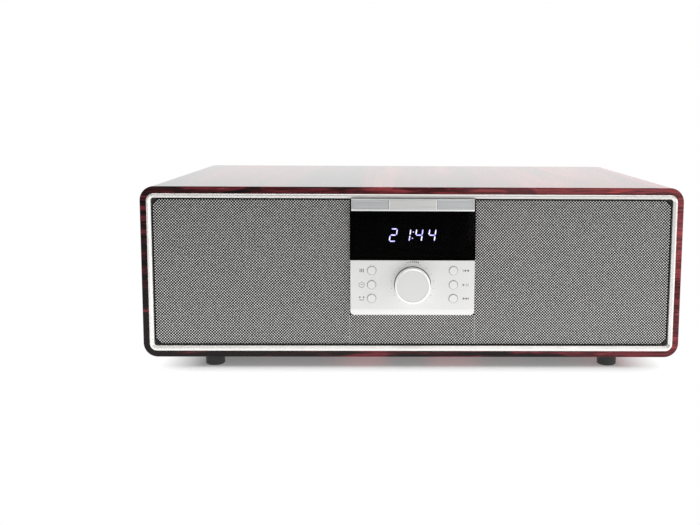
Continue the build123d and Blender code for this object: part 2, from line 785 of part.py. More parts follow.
with BuildPart() as loader_chassis:
    with BuildSketch(level(chassis_low)):
        with Locations((0, back_from_front(chassis_front))):
            Rectangle(2 * chassis_half, chassis_length, align=(Align.CENTER, Align.MIN))
        with Locations((0, back_from_front(chassis_window[1]))):
            Rectangle(chassis_window[0], chassis_window[2], align=(Align.CENTER, Align.MIN),
                      mode=Mode.SUBTRACT)
        with Locations(motor_centre):
            Circle(motor_hole, mode=Mode.SUBTRACT)
        with Locations(*[(x, back_from_front(y)) for x, y in bracket_screws]):
            Circle(screw_hole, mode=Mode.SUBTRACT)
    extrude(amount=chassis_floor)
    for side in (-1, 1):
        with BuildSketch(level(chassis_low)):
            with Locations((side * (chassis_half - chassis_side / 2), back_from_front(chassis_front))):
                Rectangle(chassis_side, chassis_length, align=(Align.CENTER, Align.MIN))
        extrude(amount=chassis_top - chassis_low)
        with BuildSketch(level(ledge_low)):
            with Locations((side * (ledge_inner + ledge_outer) / 2, back_from_front(chassis_front))):
                Rectangle(ledge_outer - ledge_inner, chassis_length, align=(Align.CENTER, Align.MIN))
        extrude(amount=ledge_thick)
        with BuildSketch(level(chassis_low)):
            with Locations((side * lug_x, back_from_front(deck_pivot_behind))):
                Rectangle(lug_size[0], lug_size[1])
        extrude(amount=lug_size[2])
        with BuildSketch(Plane.YZ.offset(side * lug_x - lug_size[0])):
            with Locations((back_from_front(deck_pivot_behind), up(pivot_up))):
                Circle(pivot_radius + running)
        extrude(amount=2 * lug_size[0], mode=Mode.SUBTRACT)
    with BuildSketch(level(chassis_low)):
        with Locations((0, back_from_front(chassis_back))):
            Rectangle(2 * chassis_half, chassis_rear[0], align=(Align.CENTER, Align.MAX))
    extrude(amount=chassis_rear[1])
    with BuildSketch(level(chassis_low)):
        with Locations(drive_centre):
            Circle(post_radius["drive"])
        with Locations(pulley_centre):
            Circle(post_radius["pulley"])
    extrude(amount=gear_high + 0.3 - chassis_low)
    with BuildSketch(level(chassis_top)):
        with Locations(*[(x, back_from_front(y)) for x, y in bridge_screws]):
            Circle(bridge_pilot[0])
    extrude(amount=-bridge_pilot[1], mode=Mode.SUBTRACT)
save(loader_chassis, "loader_chassis")

gear_recess = (4.5, 9.0, 2.0)  # inner radius, outer radius and depth
with BuildPart() as drive_gear:
    with BuildSketch(level(gear_low)):
        with BuildLine():
            Polyline(*gear_outline(drive_centre, drive_teeth, gear_module), close=True)
        make_face()
        with Locations(drive_centre):
            Circle(post_radius["drive"] + running, mode=Mode.SUBTRACT)
    extrude(amount=gear_high - gear_low)
    with BuildSketch(level(gear_high)):
        with Locations(drive_centre):
            Circle(gear_recess[1])
            Circle(gear_recess[0], mode=Mode.SUBTRACT)
    extrude(amount=-gear_recess[2], mode=Mode.SUBTRACT)
save(drive_gear, "drive_gear")

# The belt pulley carries the pinion that turns the drive gear.
belt_low = 146.8
belt_section = 1.5
pulley_groove = 10.0
motor_groove = 3.5
flange_step = 1.2
flange_thick_small = 0.9
groove_high = belt_section + 0.4
groove_low = belt_low - 0.2
pinion_neck = 4.6
motor_shaft = 1.0
motor_radius = 10.5
motor_length = 16.0
motor_boss = (2.4, 1.5)


def pulley_sketch(radius):
    """Pulley disc with the bore for its post, in the sketch that is open."""
    with Locations(pulley_centre):
        Circle(radius)
        Circle(post_radius["pulley"] + running, mode=Mode.SUBTRACT)


with BuildPart() as pulley_gear:
    with BuildSketch(level(groove_low - flange_thick_small)):
        pulley_sketch(pulley_groove + flange_step)
    extrude(amount=flange_thick_small)
    with BuildSketch(level(groove_low)):
        pulley_sketch(pulley_groove)
    extrude(amount=groove_high)
    with BuildSketch(level(groove_low + groove_high)):
        pulley_sketch(pulley_groove + flange_step)
    extrude(amount=flange_thick_small)
    with BuildSketch(level(groove_low + groove_high + flange_thick_small)):
        pulley_sketch(pinion_neck)
    extrude(amount=gear_low - groove_low - groove_high - flange_thick_small)
    with BuildSketch(level(gear_low)):
        with BuildLine():
            Polyline(*gear_outline(pulley_centre, pinion_teeth, gear_module, math.pi / pinion_teeth),
                     close=True)
        make_face()
        with Locations(pulley_centre):
            Circle(post_radius["pulley"] + running, mode=Mode.SUBTRACT)
    extrude(amount=gear_high - gear_low)
save(pulley_gear, "pulley_gear")

with BuildPart() as motor_pulley:
    with Locations((*motor_centre, up(groove_low - flange_thick_small))):
        Cylinder(motor_groove + flange_step, flange_thick_small, align=upwards)
        Cylinder(motor_groove, groove_high + 2 * flange_thick_small, align=upwards)
    with Locations((*motor_centre, up(groove_low + groove_high))):
        Cylinder(motor_groove + flange_step, flange_thick_small, align=upwards)
    with Locations((*motor_centre, up(chassis_low - 5.0))):
        Cylinder(motor_shaft, belt_low + 5.0 - chassis_low, align=upwards)
save(motor_pulley, "motor_pulley")

with BuildPart() as loading_motor:
    with Locations((*motor_centre, up(chassis_low))):
        Cylinder(motor_radius, motor_length, align=downwards)
        Cylinder(*motor_boss, align=upwards)
        Cylinder(motor_shaft + running, 14.0, mode=Mode.SUBTRACT)
    fillet(loading_motor.faces().sort_by(Axis.Z)[0].edges(), 1.5)
save(loading_motor, "loading_motor")

with BuildPart() as drive_belt:
    for extra, mode in ((belt_section, Mode.ADD), (0.0, Mode.SUBTRACT)):
        with BuildSketch(level(belt_low)):
            with Locations(pulley_centre):
                Circle(pulley_groove + running + extra)
            with Locations(motor_centre):
                Circle(motor_groove + running + extra)
            make_hull()
        extrude(amount=belt_section, mode=mode)
save(drive_belt, "drive_belt")

# Traverse deck: a steel plate on two pivot pins, with the pickup's opening and the
# rod holders.
rod_x = 20.0
rod_up = 155.9
rod_radius = 1.5
sled_front = 85.0
sled_length = 28.0
sled_gear_x = -34.0
sled_gear_behind = 112.0
sled_gear_centre = (sled_gear_x, back_from_front(sled_gear_behind))
sled_teeth = 14
sled_module = 0.8
holder_behind = (81.5, 152.5)
holder_size = (5.0, 3.0, 4.5)
deck_window = (47.0, 84.0, 66.0)  # width, front edge behind the cabinet's front, length
spindle_radius = 1.2

with BuildPart() as traverse_deck:
    with BuildSketch(level(deck_low)):
        with Locations((0, back_from_front(deck_front))):
            Rectangle(2 * deck_half, deck_back - deck_front, align=(Align.CENTER, Align.MIN))
        with Locations((0, back_from_front(deck_window[1]))):
            Rectangle(deck_window[0], deck_window[2], align=(Align.CENTER, Align.MIN), mode=Mode.SUBTRACT)
        with Locations(sled_gear_centre):
            Circle(2.0, mode=Mode.SUBTRACT)
    extrude(amount=deck_thick)
    with BuildSketch(level(deck_low + deck_thick)):
        with Locations(*[(x, back_from_front(y)) for x in (-rod_x, rod_x) for y in holder_behind]):
            Rectangle(holder_size[0], holder_size[1])
    extrude(amount=holder_size[2])
    for x in (-rod_x, rod_x):
        with BuildSketch(facing_front(holder_behind[0] - 2.0)):
            with Locations((x, up(rod_up))):
                Circle(rod_radius)
        extrude(amount=-75.0, mode=Mode.SUBTRACT)
    for side in (-1, 1):
        with BuildSketch(Plane.YZ.offset(side * (deck_half - 3.0))):
            with Locations((back_from_front(deck_pivot_behind), up(pivot_up))):
                Circle(pivot_radius)
        extrude(amount=side * 11.0)
save(traverse_deck, "traverse_deck")

with BuildPart() as guide_rods:
    for x in (-rod_x, rod_x):
        with BuildSketch(facing_front(holder_behind[0] - 1.5)):
            with Locations((x, up(rod_up))):
                Circle(rod_radius)
        extrude(amount=-(holder_behind[1] - holder_behind[0] + 3.0))
save(guide_rods, "guide_rods")

# Spindle motor on the deck and the sled's geared motor under it.
spindle_base = (13.0, 1.2)
spindle_can = (11.0, 5.6)
sled_motor = (18.0, 26.0, 8.5)
with BuildPart() as deck_motors:
    with Locations((0, back_from_front(disc_behind), up(deck_low + deck_thick))):
        Cylinder(*spindle_base, align=upwards)
        Cylinder(*spindle_can, align=upwards)
        Cylinder(spindle_radius + running, 3 * spindle_can[1], mode=Mode.SUBTRACT)
    with BuildSketch(level(deck_low)):
        with Locations(sled_gear_centre):
            RectangleRounded(sled_motor[0], sled_motor[1], 3.0)
            Circle(motor_shaft + running, mode=Mode.SUBTRACT)
    extrude(amount=-sled_motor[2])
save(deck_motors, "deck_motors")

# Turntable: a flange with a raised friction ring and a tapered boss that centres the disc.
hub_low = tray_bottom
hub_flange = (15.0, 2.9)
hub_boss = (7.45, 5.6, 5.4)  # radius at its foot and tip, height
hub_pad = (14.4, 9.5, 0.5)
spindle_length = 6.0
with BuildPart() as turntable_hub:
    with Locations((0, back_from_front(disc_behind), up(hub_low))):
        Cylinder(*hub_flange, align=upwards)
        Cone(*hub_boss, align=upwards)
        Cylinder(spindle_radius, spindle_length, align=downwards)
    with BuildSketch(level(hub_low + hub_flange[1])):
        with Locations((0, back_from_front(disc_behind))):
            Circle(hub_pad[0])
            Circle(hub_pad[1], mode=Mode.SUBTRACT)
    extrude(amount=hub_pad[2])
save(turntable_hub, "turntable_hub")

# Optical pickup: block, rod lugs and rack in one moulding, lens ring and lens on top.
sled_pitch_x = sled_gear_x + sled_teeth * sled_module / 2
sled_gear_low = 154.4
pickup_low = 149.4
pickup_high = 10.4
pickup_width = 34.0
lug_width = 46.0
lug_length = 18.0
sled_rack = (-22.5, 73.0, 116.0)  # inner edge, front and back
lens_behind = 93.0
lens_steps = ((5.0, 0.9), (3.4, 1.4), (2.3, 2.0))
with BuildPart() as optical_pickup:
    with BuildSketch(level(pickup_low)):
        with Locations((0, back_from_front(sled_front))):
            RectangleRounded(pickup_width, sled_length, 2.0, align=(Align.CENTER, Align.MIN))
    extrude(amount=pickup_high)
    with BuildSketch(level(rod_up - 1.7)):
        with Locations((0, back_from_front(sled_front + sled_length / 2))):
            Rectangle(lug_width, lug_length)
    extrude(amount=4.2)
    for x in (-rod_x, rod_x):
        with BuildSketch(facing_front(sled_front)):
            with Locations((x, up(rod_up))):
                Circle(rod_radius + running)
        extrude(amount=-sled_length, mode=Mode.SUBTRACT)
    with BuildSketch(level(sled_gear_low)):
        with BuildLine():
            Polyline(*rack_outline(sled_pitch_x, sled_rack[0], back_from_front(sled_rack[1]),
                                   back_from_front(sled_rack[2]), back_from_front(sled_gear_behind),
                                   sled_module), close=True)
        make_face()
    extrude(amount=3.0)
    with Locations((0, back_from_front(lens_behind), up(pickup_low + pickup_high))):
        for step in lens_steps:
            Cylinder(*step, align=upwards)
save(optical_pickup, "optical_pickup")

with BuildPart() as sled_gear:
    with BuildSketch(level(sled_gear_low)):
        with BuildLine():
            Polyline(*gear_outline(sled_gear_centre, sled_teeth, sled_module), close=True)
        make_face()
    extrude(amount=3.4)
    with Locations((*sled_gear_centre, up(sled_gear_low))):
        Cylinder(motor_shaft, 6.0, align=downwards)
save(sled_gear, "sled_gear")

# Clamp bridge over the tray, with the free clamper in its hole.
bridge_hole = 11.6
bridge_thick = 1.2
clamper_low = 165.3
clamper_pad = (14.0, 2.3)
clamper_waist = (11.0, 5.5)
clamper_flange = (15.0, 1.6)
clamper_magnet = (8.5, 1.6)
with BuildPart() as clamp_bridge:
    with BuildSketch(level(chassis_top)):
        with Locations((0, back_from_front(bridge_front))):
            Rectangle(2 * chassis_half, bridge_back - bridge_front, align=(Align.CENTER, Align.MIN))
        with Locations((0, back_from_front(disc_behind))):
            Circle(bridge_hole, mode=Mode.SUBTRACT)
        with Locations(*[(x, back_from_front(y)) for x, y in bridge_screws]):
            Circle(bridge_pilot[0] + 0.15, mode=Mode.SUBTRACT)
    extrude(amount=bridge_thick)
save(clamp_bridge, "clamp_bridge")

with BuildPart() as disc_clamper:
    with Locations((0, back_from_front(disc_behind), up(clamper_low))):
        Cylinder(*clamper_pad, align=upwards)
        Cylinder(*clamper_waist, align=upwards)
    with Locations((0, back_from_front(disc_behind), up(clamper_low + clamper_waist[1] - 0.2))):
        Cylinder(*clamper_flange, align=upwards)
    with Locations((0, back_from_front(disc_behind), up(clamper_low))):
        Cylinder(*clamper_magnet, align=upwards, mode=Mode.SUBTRACT)
save(disc_clamper, "disc_clamper")

# Two folded steel brackets carry the loader: foot, upright and top flange each.
bracket_front = 60.0
bracket_back = 204.0
sheet = 1.5
upright_outer = 72.0
flange_inner_x = 52.0
bracket_foot_out = 88.0
bracket_feet = [(x, y) for x in (-80.0, 80.0) for y in (75.0, 190.0)]

with BuildPart() as loader_brackets:
    for sign in (-1, 1):
        with BuildSketch(facing_front(bracket_front)):
            with BuildLine():
                Polyline((sign * flange_inner_x, up(chassis_low)),
                         (sign * upright_outer, up(chassis_low)),
                         (sign * upright_outer, up(wall + sheet)),
                         (sign * bracket_foot_out, up(wall + sheet)),
                         (sign * bracket_foot_out, up(wall)), (sign * (upright_outer - sheet), up(wall)),
                         (sign * (upright_outer - sheet), up(chassis_low - sheet)),
                         (sign * flange_inner_x, up(chassis_low - sheet)), close=True)
            make_face()
        extrude(amount=-(bracket_back - bracket_front))
    with BuildSketch(level(0)):
        with Locations(*[(x, back_from_front(y)) for x, y in bracket_screws + bracket_feet]):
            Circle(screw_hole)
    extrude(amount=height, mode=Mode.SUBTRACT)
save(loader_brackets, "loader_brackets")

# ---------------------------------------------------------------- circuit boards
standoff_height = 8.0
board_up = wall + standoff_height
main_half = 64.0
main_front = 84.0
main_back = 196.0
power_x = (104.0, 196.0)
power_front = 214.0
power_back = 310.0
main_standoffs = [(x, y) for x in (-58.0, 58.0) for y in (90.0, 190.0)]
power_standoffs = [(x, y) for x in (110.0, 190.0) for y in (220.0, 304.0)]

with BuildPart() as main_board:
    with BuildSketch(level(board_up)):
        with Locations((0, back_from_front(main_front))):
            Rectangle(2 * main_half, main_back - main_front, align=(Align.CENTER, Align.MIN))
        with Locations(*[(x, back_from_front(y)) for x, y in main_standoffs]):
            Circle(screw_hole, mode=Mode.SUBTRACT)
    extrude(amount=board_thick)
save(main_board, "main_board")

heatsink_behind = 168.0
heatsink_length = 22.0
heatsink_base = (96.0, 6.0)
fin_count = 10
fin_pitch = 10.0
fin_size = (2.4, 32.4)
with BuildPart() as amplifier_heatsink:
    with BuildSketch(facing_front(heatsink_behind)):
        with Locations((0, up(board_up + board_thick))):
            Rectangle(*heatsink_base, align=(Align.CENTER, Align.MIN))
        with Locations((0, up(board_up + board_thick + heatsink_base[1] - 0.2 + fin_size[1] / 2))):
            with GridLocations(fin_pitch, 1.0, fin_count, 1):
                Rectangle(*fin_size)
    extrude(amount=-heatsink_length)
save(amplifier_heatsink, "amplifier_heatsink")

with BuildPart() as power_board:
    with BuildSketch(level(board_up)):
        with Locations((sum(power_x) / 2, back_from_front(power_front))):
            Rectangle(power_x[1] - power_x[0], power_back - power_front, align=(Align.CENTER, Align.MIN))
        with Locations(*[(x, back_from_front(y)) for x, y in power_standoffs]):
            Circle(screw_hole, mode=Mode.SUBTRACT)
    extrude(amount=board_thick)
save(power_board, "power_board")

# Chips, capacitors and connectors of the main board; transformer and smoothing
# capacitors of the power board.
board_top = board_up + board_thick
chips = [(-30.0, 110.0), (22.0, 112.0)]
chip_size = (24.0, 2.2)
headers = [(x, 88.5) for x in (-40.0, 0.0, 40.0)]
header_size = (20.0, 6.0, 8.0)
capacitors = [((x, y), 4.0, 12.0) for x in (-24.0, -8.0, 8.0, 24.0) for y in (136.0, 148.0)]
capacitors += [((172.0, y), 9.0, 28.0) for y in (240.0, 262.0)]
capacitors += [((x, 290.0), 5.0, 16.0) for x in (126.0, 142.0, 158.0)]
transformer_place = (132.0, 246.0)
transformer_core = (36.0, 14.0, 32.0)
transformer_coil = (26.0, 30.0, 22.0)
coil_lift = 5.0

with BuildPart() as board_components:
    with BuildSketch(level(board_top)):
        with Locations(*[(x, back_from_front(y)) for x, y in chips]):
            Rectangle(chip_size[0], chip_size[0])
    extrude(amount=chip_size[1])
    with BuildSketch(level(board_top)):
        with Locations(*[(x, back_from_front(y)) for x, y in headers]):
            Rectangle(header_size[0], header_size[1])
    extrude(amount=header_size[2])
    for (x, y), radius, tall in capacitors:
        with Locations((x, back_from_front(y), up(board_top))):
            Cylinder(radius, tall, align=upwards)
    with BuildSketch(level(board_top)):
        with Locations((transformer_place[0], back_from_front(transformer_place[1]))):
            Rectangle(transformer_core[0], transformer_core[1])
    extrude(amount=transformer_core[2])
    with BuildSketch(level(board_top + coil_lift)):
        with Locations((transformer_place[0], back_from_front(transformer_place[1]))):
            RectangleRounded(transformer_coil[0], transformer_coil[1], 6.0)
    extrude(amount=transformer_coil[2])
save(board_components, "board_components")

# ---------------------------------------------------------------- rear panel
rear_face = back_y - rear_recess
port_x = 150.0
port_up = 122.0
port_outer = 26.0
port_inner = 23.5
port_length = 92.0
port_flange = 1.8
jack_up = 66.0
jack_hole = (118.0, 48.0)
jack_plate_size = (128.0, 58.0)
mains_x = 205.0
mains_up = 46.0
mains_hole = (58.0, 26.0)
mains_plate_size = (70.0, 38.0)
plate_thick = 2.0
port_clearance = 0.1
port_rim = 5.0
port_mouth = 1.6
rear_gap = 0.3
panel_screw_hole = 1.5
rear_screw_places = [(x, z) for x in (-270.0, -90.0, 90.0, 270.0) for z in (14.5, 167.5)]
rear_screw_places += [(-270.0, 91.0), (270.0, 91.0)]
jack_screws = [(x, jack_up + z) for x in (-61.5, 61.5) for z in (-26.5, 26.5)]
mains_screws = [(mains_x + x, mains_up) for x in (-32.0, 32.0)]

with BuildPart() as rear_panel:
    with BuildSketch(facing_back(rear_face)):
        with Locations((0, mid_z)):
            RectangleRounded(width - 2 * (rear_lip + rear_gap), height - 2 * (rear_lip + rear_gap),
                             corner_radius - rear_lip - rear_gap)
        with Locations((-port_x, up(port_up)), (port_x, up(port_up))):
            Circle(port_outer + port_clearance, mode=Mode.SUBTRACT)
        with Locations((0, up(jack_up))):
            Rectangle(*jack_hole, mode=Mode.SUBTRACT)
        with Locations((mains_x, up(mains_up))):
            Rectangle(*mains_hole, mode=Mode.SUBTRACT)
        with Locations(*[(x, up(z)) for x, z in rear_screw_places + jack_screws + mains_screws]):
            Circle(panel_screw_hole, mode=Mode.SUBTRACT)
    extrude(amount=rear_panel_thick)
save(rear_panel, "rear_panel")

with BuildPart() as bass_ports:
    with BuildSketch(facing_back(rear_face)):
        with Locations((-port_x, up(port_up)), (port_x, up(port_up))):
            Circle(port_outer)
    extrude(amount=port_length)
    with BuildSketch(facing_back(rear_face + port_flange)):
        with Locations((-port_x, up(port_up)), (port_x, up(port_up))):
            Circle(port_outer + port_rim)
    extrude(amount=port_flange)
    with BuildSketch(facing_back(rear_face + port_flange)):
        with Locations((-port_x, up(port_up)), (port_x, up(port_up))):
            Circle(port_inner)
    extrude(amount=port_length + port_flange, mode=Mode.SUBTRACT)
    mouths = [face.inner_wires()[0].edges() for face in bass_ports.faces().group_by(Axis.Y)[-1]]
    fillet([edge for mouth in mouths for edge in mouth], port_mouth)
save(bass_ports, "bass_ports")

# Jack plate: columns of phono sockets, two microphone jacks, a USB socket and an aerial
# socket.
phono_places = [(x, jack_up + z) for x in (20.0, 36.0, 52.0) for z in (-10.0, 10.0)]
microphone_places = [(-24.0, jack_up - 2.0), (0.0, jack_up - 2.0)]
usb_place = (-48.0, jack_up + 10.0)
aerial_place = (-48.0, jack_up - 10.0)
phono_radius = 4.15
aerial_radius = 4.7
collar_step = 0.6  # collar where a barrel passes through the plate
microphone_bore = 3.2
microphone_bush = (5.0, 2.6)  # radius, reach beyond the plate
microphone_nut = (7.4, 2.2)
microphone_body = (17.0, 33.0)
socket_clearance = 0.1
socket_depth = 13.0
pin_depth = 14.0
usb_size = (13.2, 5.8)
usb_wall = 0.6
usb_proud = 0.6
usb_depth = 17.0
usb_tongue = (11.2, 1.3)
usb_tongue_up = 2.0

with BuildPart() as jack_plate:
    with BuildSketch(facing_back(rear_face + plate_thick)):
        with Locations((0, up(jack_up))):
            RectangleRounded(*jack_plate_size, 3.0)
        with Locations(*[(x, up(z)) for x, z in phono_places]):
            Circle(phono_radius + collar_step + socket_clearance, mode=Mode.SUBTRACT)
        with Locations(*[(x, up(z)) for x, z in microphone_places]):
            Circle(microphone_bush[0] + socket_clearance, mode=Mode.SUBTRACT)
        with Locations((usb_place[0], up(usb_place[1]))):
            Rectangle(usb_size[0] + 2 * usb_wall + 0.6, usb_size[1] + 2 * usb_wall + 0.6,
                      mode=Mode.SUBTRACT)
        with Locations((aerial_place[0], up(aerial_place[1]))):
            Circle(aerial_radius + collar_step + socket_clearance, mode=Mode.SUBTRACT)
        with Locations(*[(x, up(z)) for x, z in jack_screws]):
            Circle(panel_screw_hole, mode=Mode.SUBTRACT)
    extrude(amount=plate_thick)
save(jack_plate, "jack_plate")

with BuildPart() as line_sockets:
    sockets = [(place, phono_radius, 1.65, (12.0, 14.0)) for place in phono_places]
    sockets.append((aerial_place, aerial_radius, 1.2, (14.0, 14.0)))
    for (x, z), barrel, pin_hole, body in sockets:
        with BuildSketch(facing_back(back_y + jack_reach)):
            with Locations((x, up(z))):
                Circle(barrel)
        extrude(amount=jack_reach)
        with BuildSketch(facing_back(back_y)):
            with Locations((x, up(z))):
                Circle(barrel + collar_step)
        extrude(amount=plate_thick)
        with BuildSketch(facing_back(rear_face)):
            with Locations((x, up(z))):
                Rectangle(*body)
        extrude(amount=socket_depth)
        with BuildSketch(facing_back(back_y + jack_reach)):
            with Locations((x, up(z))):
                Circle(pin_hole)
        extrude(amount=pin_depth, mode=Mode.SUBTRACT)
save(line_sockets, "line_sockets")

with BuildPart() as microphone_jacks:
    for x, z in microphone_places:
        with BuildSketch(facing_back(rear_face + plate_thick + microphone_bush[1])):
            with Locations((x, up(z))):
                Circle(microphone_bush[0])
        extrude(amount=microphone_bush[1] + plate_thick)
        with BuildSketch(facing_back(rear_face + plate_thick + microphone_nut[1])):
            with Locations((x, up(z))):
                RegularPolygon(microphone_nut[0], 6)
        extrude(amount=microphone_nut[1])
        with BuildSketch(facing_back(rear_face)):
            with Locations((x, up(z))):
                Rectangle(microphone_body[0], microphone_body[0])
        extrude(amount=microphone_body[1])
        with BuildSketch(facing_back(rear_face + plate_thick + microphone_bush[1])):
            with Locations((x, up(z))):
                Circle(microphone_bore)
        extrude(amount=microphone_body[1] + spare, mode=Mode.SUBTRACT)
save(microphone_jacks, "microphone_jacks")

with BuildPart() as usb_socket:
    with BuildSketch(facing_back(rear_face + plate_thick + usb_proud)):
        with Locations((usb_place[0], up(usb_place[1]))):
            Rectangle(usb_size[0] + 2 * usb_wall, usb_size[1] + 2 * usb_wall)
    extrude(amount=usb_depth)
    with BuildSketch(facing_back(rear_face + plate_thick + usb_proud)):
        with Locations((usb_place[0], up(usb_place[1]))):
            Rectangle(*usb_size)
    extrude(amount=usb_depth - spare, mode=Mode.SUBTRACT)
    with BuildSketch(facing_back(rear_face - 0.4)):
        with Locations((usb_place[0], up(usb_place[1] + usb_tongue_up))):
            Rectangle(*usb_tongue)
    extrude(amount=usb_depth - 4 * spare)
save(usb_socket, "usb_socket")

# Mains plate with the inlet and the rocker switch.
inlet_place = (mains_x - 14.0, mains_up)
rocker_place = (mains_x + 13.0, mains_up)
inlet_size = (15.6, 8.2)
rocker_pivot_y = rear_face + plate_thick - 3.6
rocker_tilt = 10.0
rocker_half = 8.3
rocker_height = 11.6
rocker_middle = 2.6  # front of the rocker above its axle, at the waist and at its ends
rocker_ends = 4.0
rocker_low = -1.5
axle_radius = 1.0
axle_length = 13.4
housing_size = (21.0, 15.0, 20.0)
housing_hollow = (18.4, 12.4, 9.4)
mains_proud = 0.8
inlet_body = (22.0, 14.0, 18.0)
inlet_depth = 14.0
pin_radius = 1.15
pin_reach = 12.0
pin_offset = 4.3

with BuildPart() as mains_plate:
    with BuildSketch(facing_back(rear_face + plate_thick)):
        with Locations((mains_x, up(mains_up))):
            RectangleRounded(*mains_plate_size, 3.0)
        with Locations((rocker_place[0], up(rocker_place[1]))):
            Rectangle(housing_size[0] + 0.2, housing_size[1] + 0.2, mode=Mode.SUBTRACT)
        with Locations(*[(x, up(z)) for x, z in mains_screws]):
            Circle(panel_screw_hole, mode=Mode.SUBTRACT)
    extrude(amount=plate_thick)
    with BuildSketch(facing_back(rear_face + plate_thick + mains_proud)):
        with Locations((inlet_place[0], up(inlet_place[1]))):
            Rectangle(inlet_body[0], inlet_body[1])
    extrude(amount=inlet_body[2])
    with BuildSketch(facing_back(rear_face + plate_thick + mains_proud)):
        with Locations((inlet_place[0], up(inlet_place[1]))):
            SlotOverall(*inlet_size)
    extrude(amount=inlet_depth, mode=Mode.SUBTRACT)
    with BuildSketch(facing_back(rear_face + plate_thick - inlet_depth)):
        with Locations(*[(inlet_place[0] + x, up(inlet_place[1])) for x in (-pin_offset, pin_offset)]):
            Circle(pin_radius)
    extrude(amount=-pin_reach)
save(mains_plate, "mains_plate")

with BuildPart() as switch_housing:
    with BuildSketch(facing_back(rear_face + plate_thick + mains_proud)):
        with Locations((rocker_place[0], up(rocker_place[1]))):
            Rectangle(housing_size[0], housing_size[1])
    extrude(amount=housing_size[2])
    with BuildSketch(facing_back(rear_face + plate_thick + mains_proud)):
        with Locations((rocker_place[0], up(rocker_place[1]))):
            Rectangle(housing_hollow[0], housing_hollow[1])
    extrude(amount=housing_hollow[2], mode=Mode.SUBTRACT)
    with Locations((rocker_place[0], rocker_pivot_y, up(rocker_place[1]))):
        Cylinder(axle_radius + running, axle_length + 0.4, mode=Mode.SUBTRACT)
save(switch_housing, "switch_housing")

rocker_plane = Plane(origin=(rocker_place[0], rocker_pivot_y, up(rocker_place[1]) - rocker_height / 2),
                     x_dir=Vector(1, 0, 0).rotate(Axis.Z, rocker_tilt), z_dir=(0, 0, 1))
with BuildPart() as power_rocker:
    with BuildSketch(rocker_plane):
        with BuildLine():
            Polyline((-rocker_half, rocker_low), (-rocker_half, rocker_ends), (0, rocker_middle),
                     (rocker_half, rocker_ends), (rocker_half, rocker_low), close=True)
        make_face()
    extrude(amount=rocker_height)
    with Locations((rocker_place[0], rocker_pivot_y, up(rocker_place[1]))):
        Cylinder(axle_radius, axle_length)
save(power_rocker, "power_rocker")

# ---------------------------------------------------------------- fasteners
facing_up = (0, 0, 0)
facing_down = (180, 0, 0)
facing_rear = (-90, 0, 0)


# Each kind of screw: radius of its head, radius of its shank, height of the head, length.
foot_screw = (4.0, 1.7, 2.0, 11.0)
panel_screw = (2.9, 1.4, 1.4, 8.5)
speaker_screw = (3.6, 1.7, 2.2, 10.0)
boss_screw = (2.6, 1.2, 1.8, 8.0)
bridge_screw = (2.2, 1.1, 1.4, 8.0)
bracket_screw = (3.0, 1.5, 1.8, 8.0)
bracket_foot_screw = (3.2, 1.6, 2.0, sheet)
board_screw = (3.0, 1.6, 2.0, board_thick)
standoff_radius = 3.5


def screws(places, turn, kind):
    """Screws in the part that is open: heads stand on these points, shanks go the other way."""
    head, shank, head_height, length = kind
    with Locations(*[Location(place, turn) for place in places]):
        Cylinder(head, head_height, align=upwards)
        Cylinder(shank, length, align=downwards)


with BuildPart() as cabinet_screws:
    screws([(x, y, foot_counterbore[1]) for x, y in foot_places], facing_down, foot_screw)
    screws([(x, rear_face, up(z)) for x, z in rear_screw_places], facing_rear, panel_screw)
    screws([(x, rear_face + plate_thick, up(z)) for x, z in jack_screws + mains_screws], facing_rear,
           panel_screw)
save(cabinet_screws, "cabinet_screws")

turns = [math.radians(45 + 90 * i) for i in range(4)]
speaker_bolts = [(x + bolt_circle * math.cos(a), speaker_up + bolt_circle * math.sin(a))
                 for x in speaker_sides.values() for a in turns]
board_posts = main_standoffs + power_standoffs
with BuildPart() as inner_fasteners:
    screws([(x, back_from_front(driver_back + flange_thick), up(z)) for x, z in speaker_bolts],
           facing_rear, speaker_screw)
    screws([(x, back_from_front(board_front + board_thick), up(z)) for x, z in boss_places],
           facing_rear, boss_screw)
    screws([(x, back_from_front(y), up(chassis_top + bridge_thick)) for x, y in bridge_screws],
           facing_up, bridge_screw)
    screws([(x, back_from_front(y), up(chassis_low + chassis_floor)) for x, y in bracket_screws],
           facing_up, bracket_screw)
    screws([(x, back_from_front(y), up(wall + sheet)) for x, y in bracket_feet],
           facing_up, bracket_foot_screw)
    screws([(x, back_from_front(y), up(board_up + board_thick)) for x, y in board_posts],
           facing_up, board_screw)
    with Locations(*[(x, back_from_front(y), up(wall)) for x, y in board_posts]):
        Cylinder(standoff_radius, standoff_height, align=upwards)
save(inner_fasteners, "inner_fasteners")

# ---------------------------------------------------------------- wiring
# Speaker leads from each basket round the front of the loader brackets to the main board,
# and the flat cable from the front board.
lead_radius = 1.3
lead_bend = 8.0
lead_route = [(134.0, 50.0, 58.0), (118.0, 49.0, 40.0), (98.0, 50.0, 24.0), (76.0, 51.0, 21.0),
              (55.0, 56.0, 24.0), (42.0, 70.0, 29.0), (40.0, 84.8, 23.0)]
flat_route = [(11.0, 58.0), (30.0, 58.0), (46.0, 40.0), (88.0, 40.0), (88.0, 26.8)]
flat_width = 16.0
flat_thick = 0.8
flat_bend = 6.0
with BuildPart() as wiring:
    for sign in (-1, 1):
        with BuildLine():
            path = FilletPolyline(*[(sign * x, back_from_front(y), up(z)) for x, y, z in lead_route],
                                  radius=lead_bend)
        with BuildSketch(Plane(origin=path @ 0, z_dir=path % 0)):
            Circle(lead_radius)
        sweep(path=path)
    with BuildSketch(Plane.YZ.offset(-flat_width / 2)):
        with BuildLine():
            FilletPolyline(*[(back_from_front(y), up(z)) for y, z in flat_route], radius=flat_bend)
        trace(line_width=flat_thick)
    extrude(amount=flat_width)
save(wiring, "wiring")
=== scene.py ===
import math

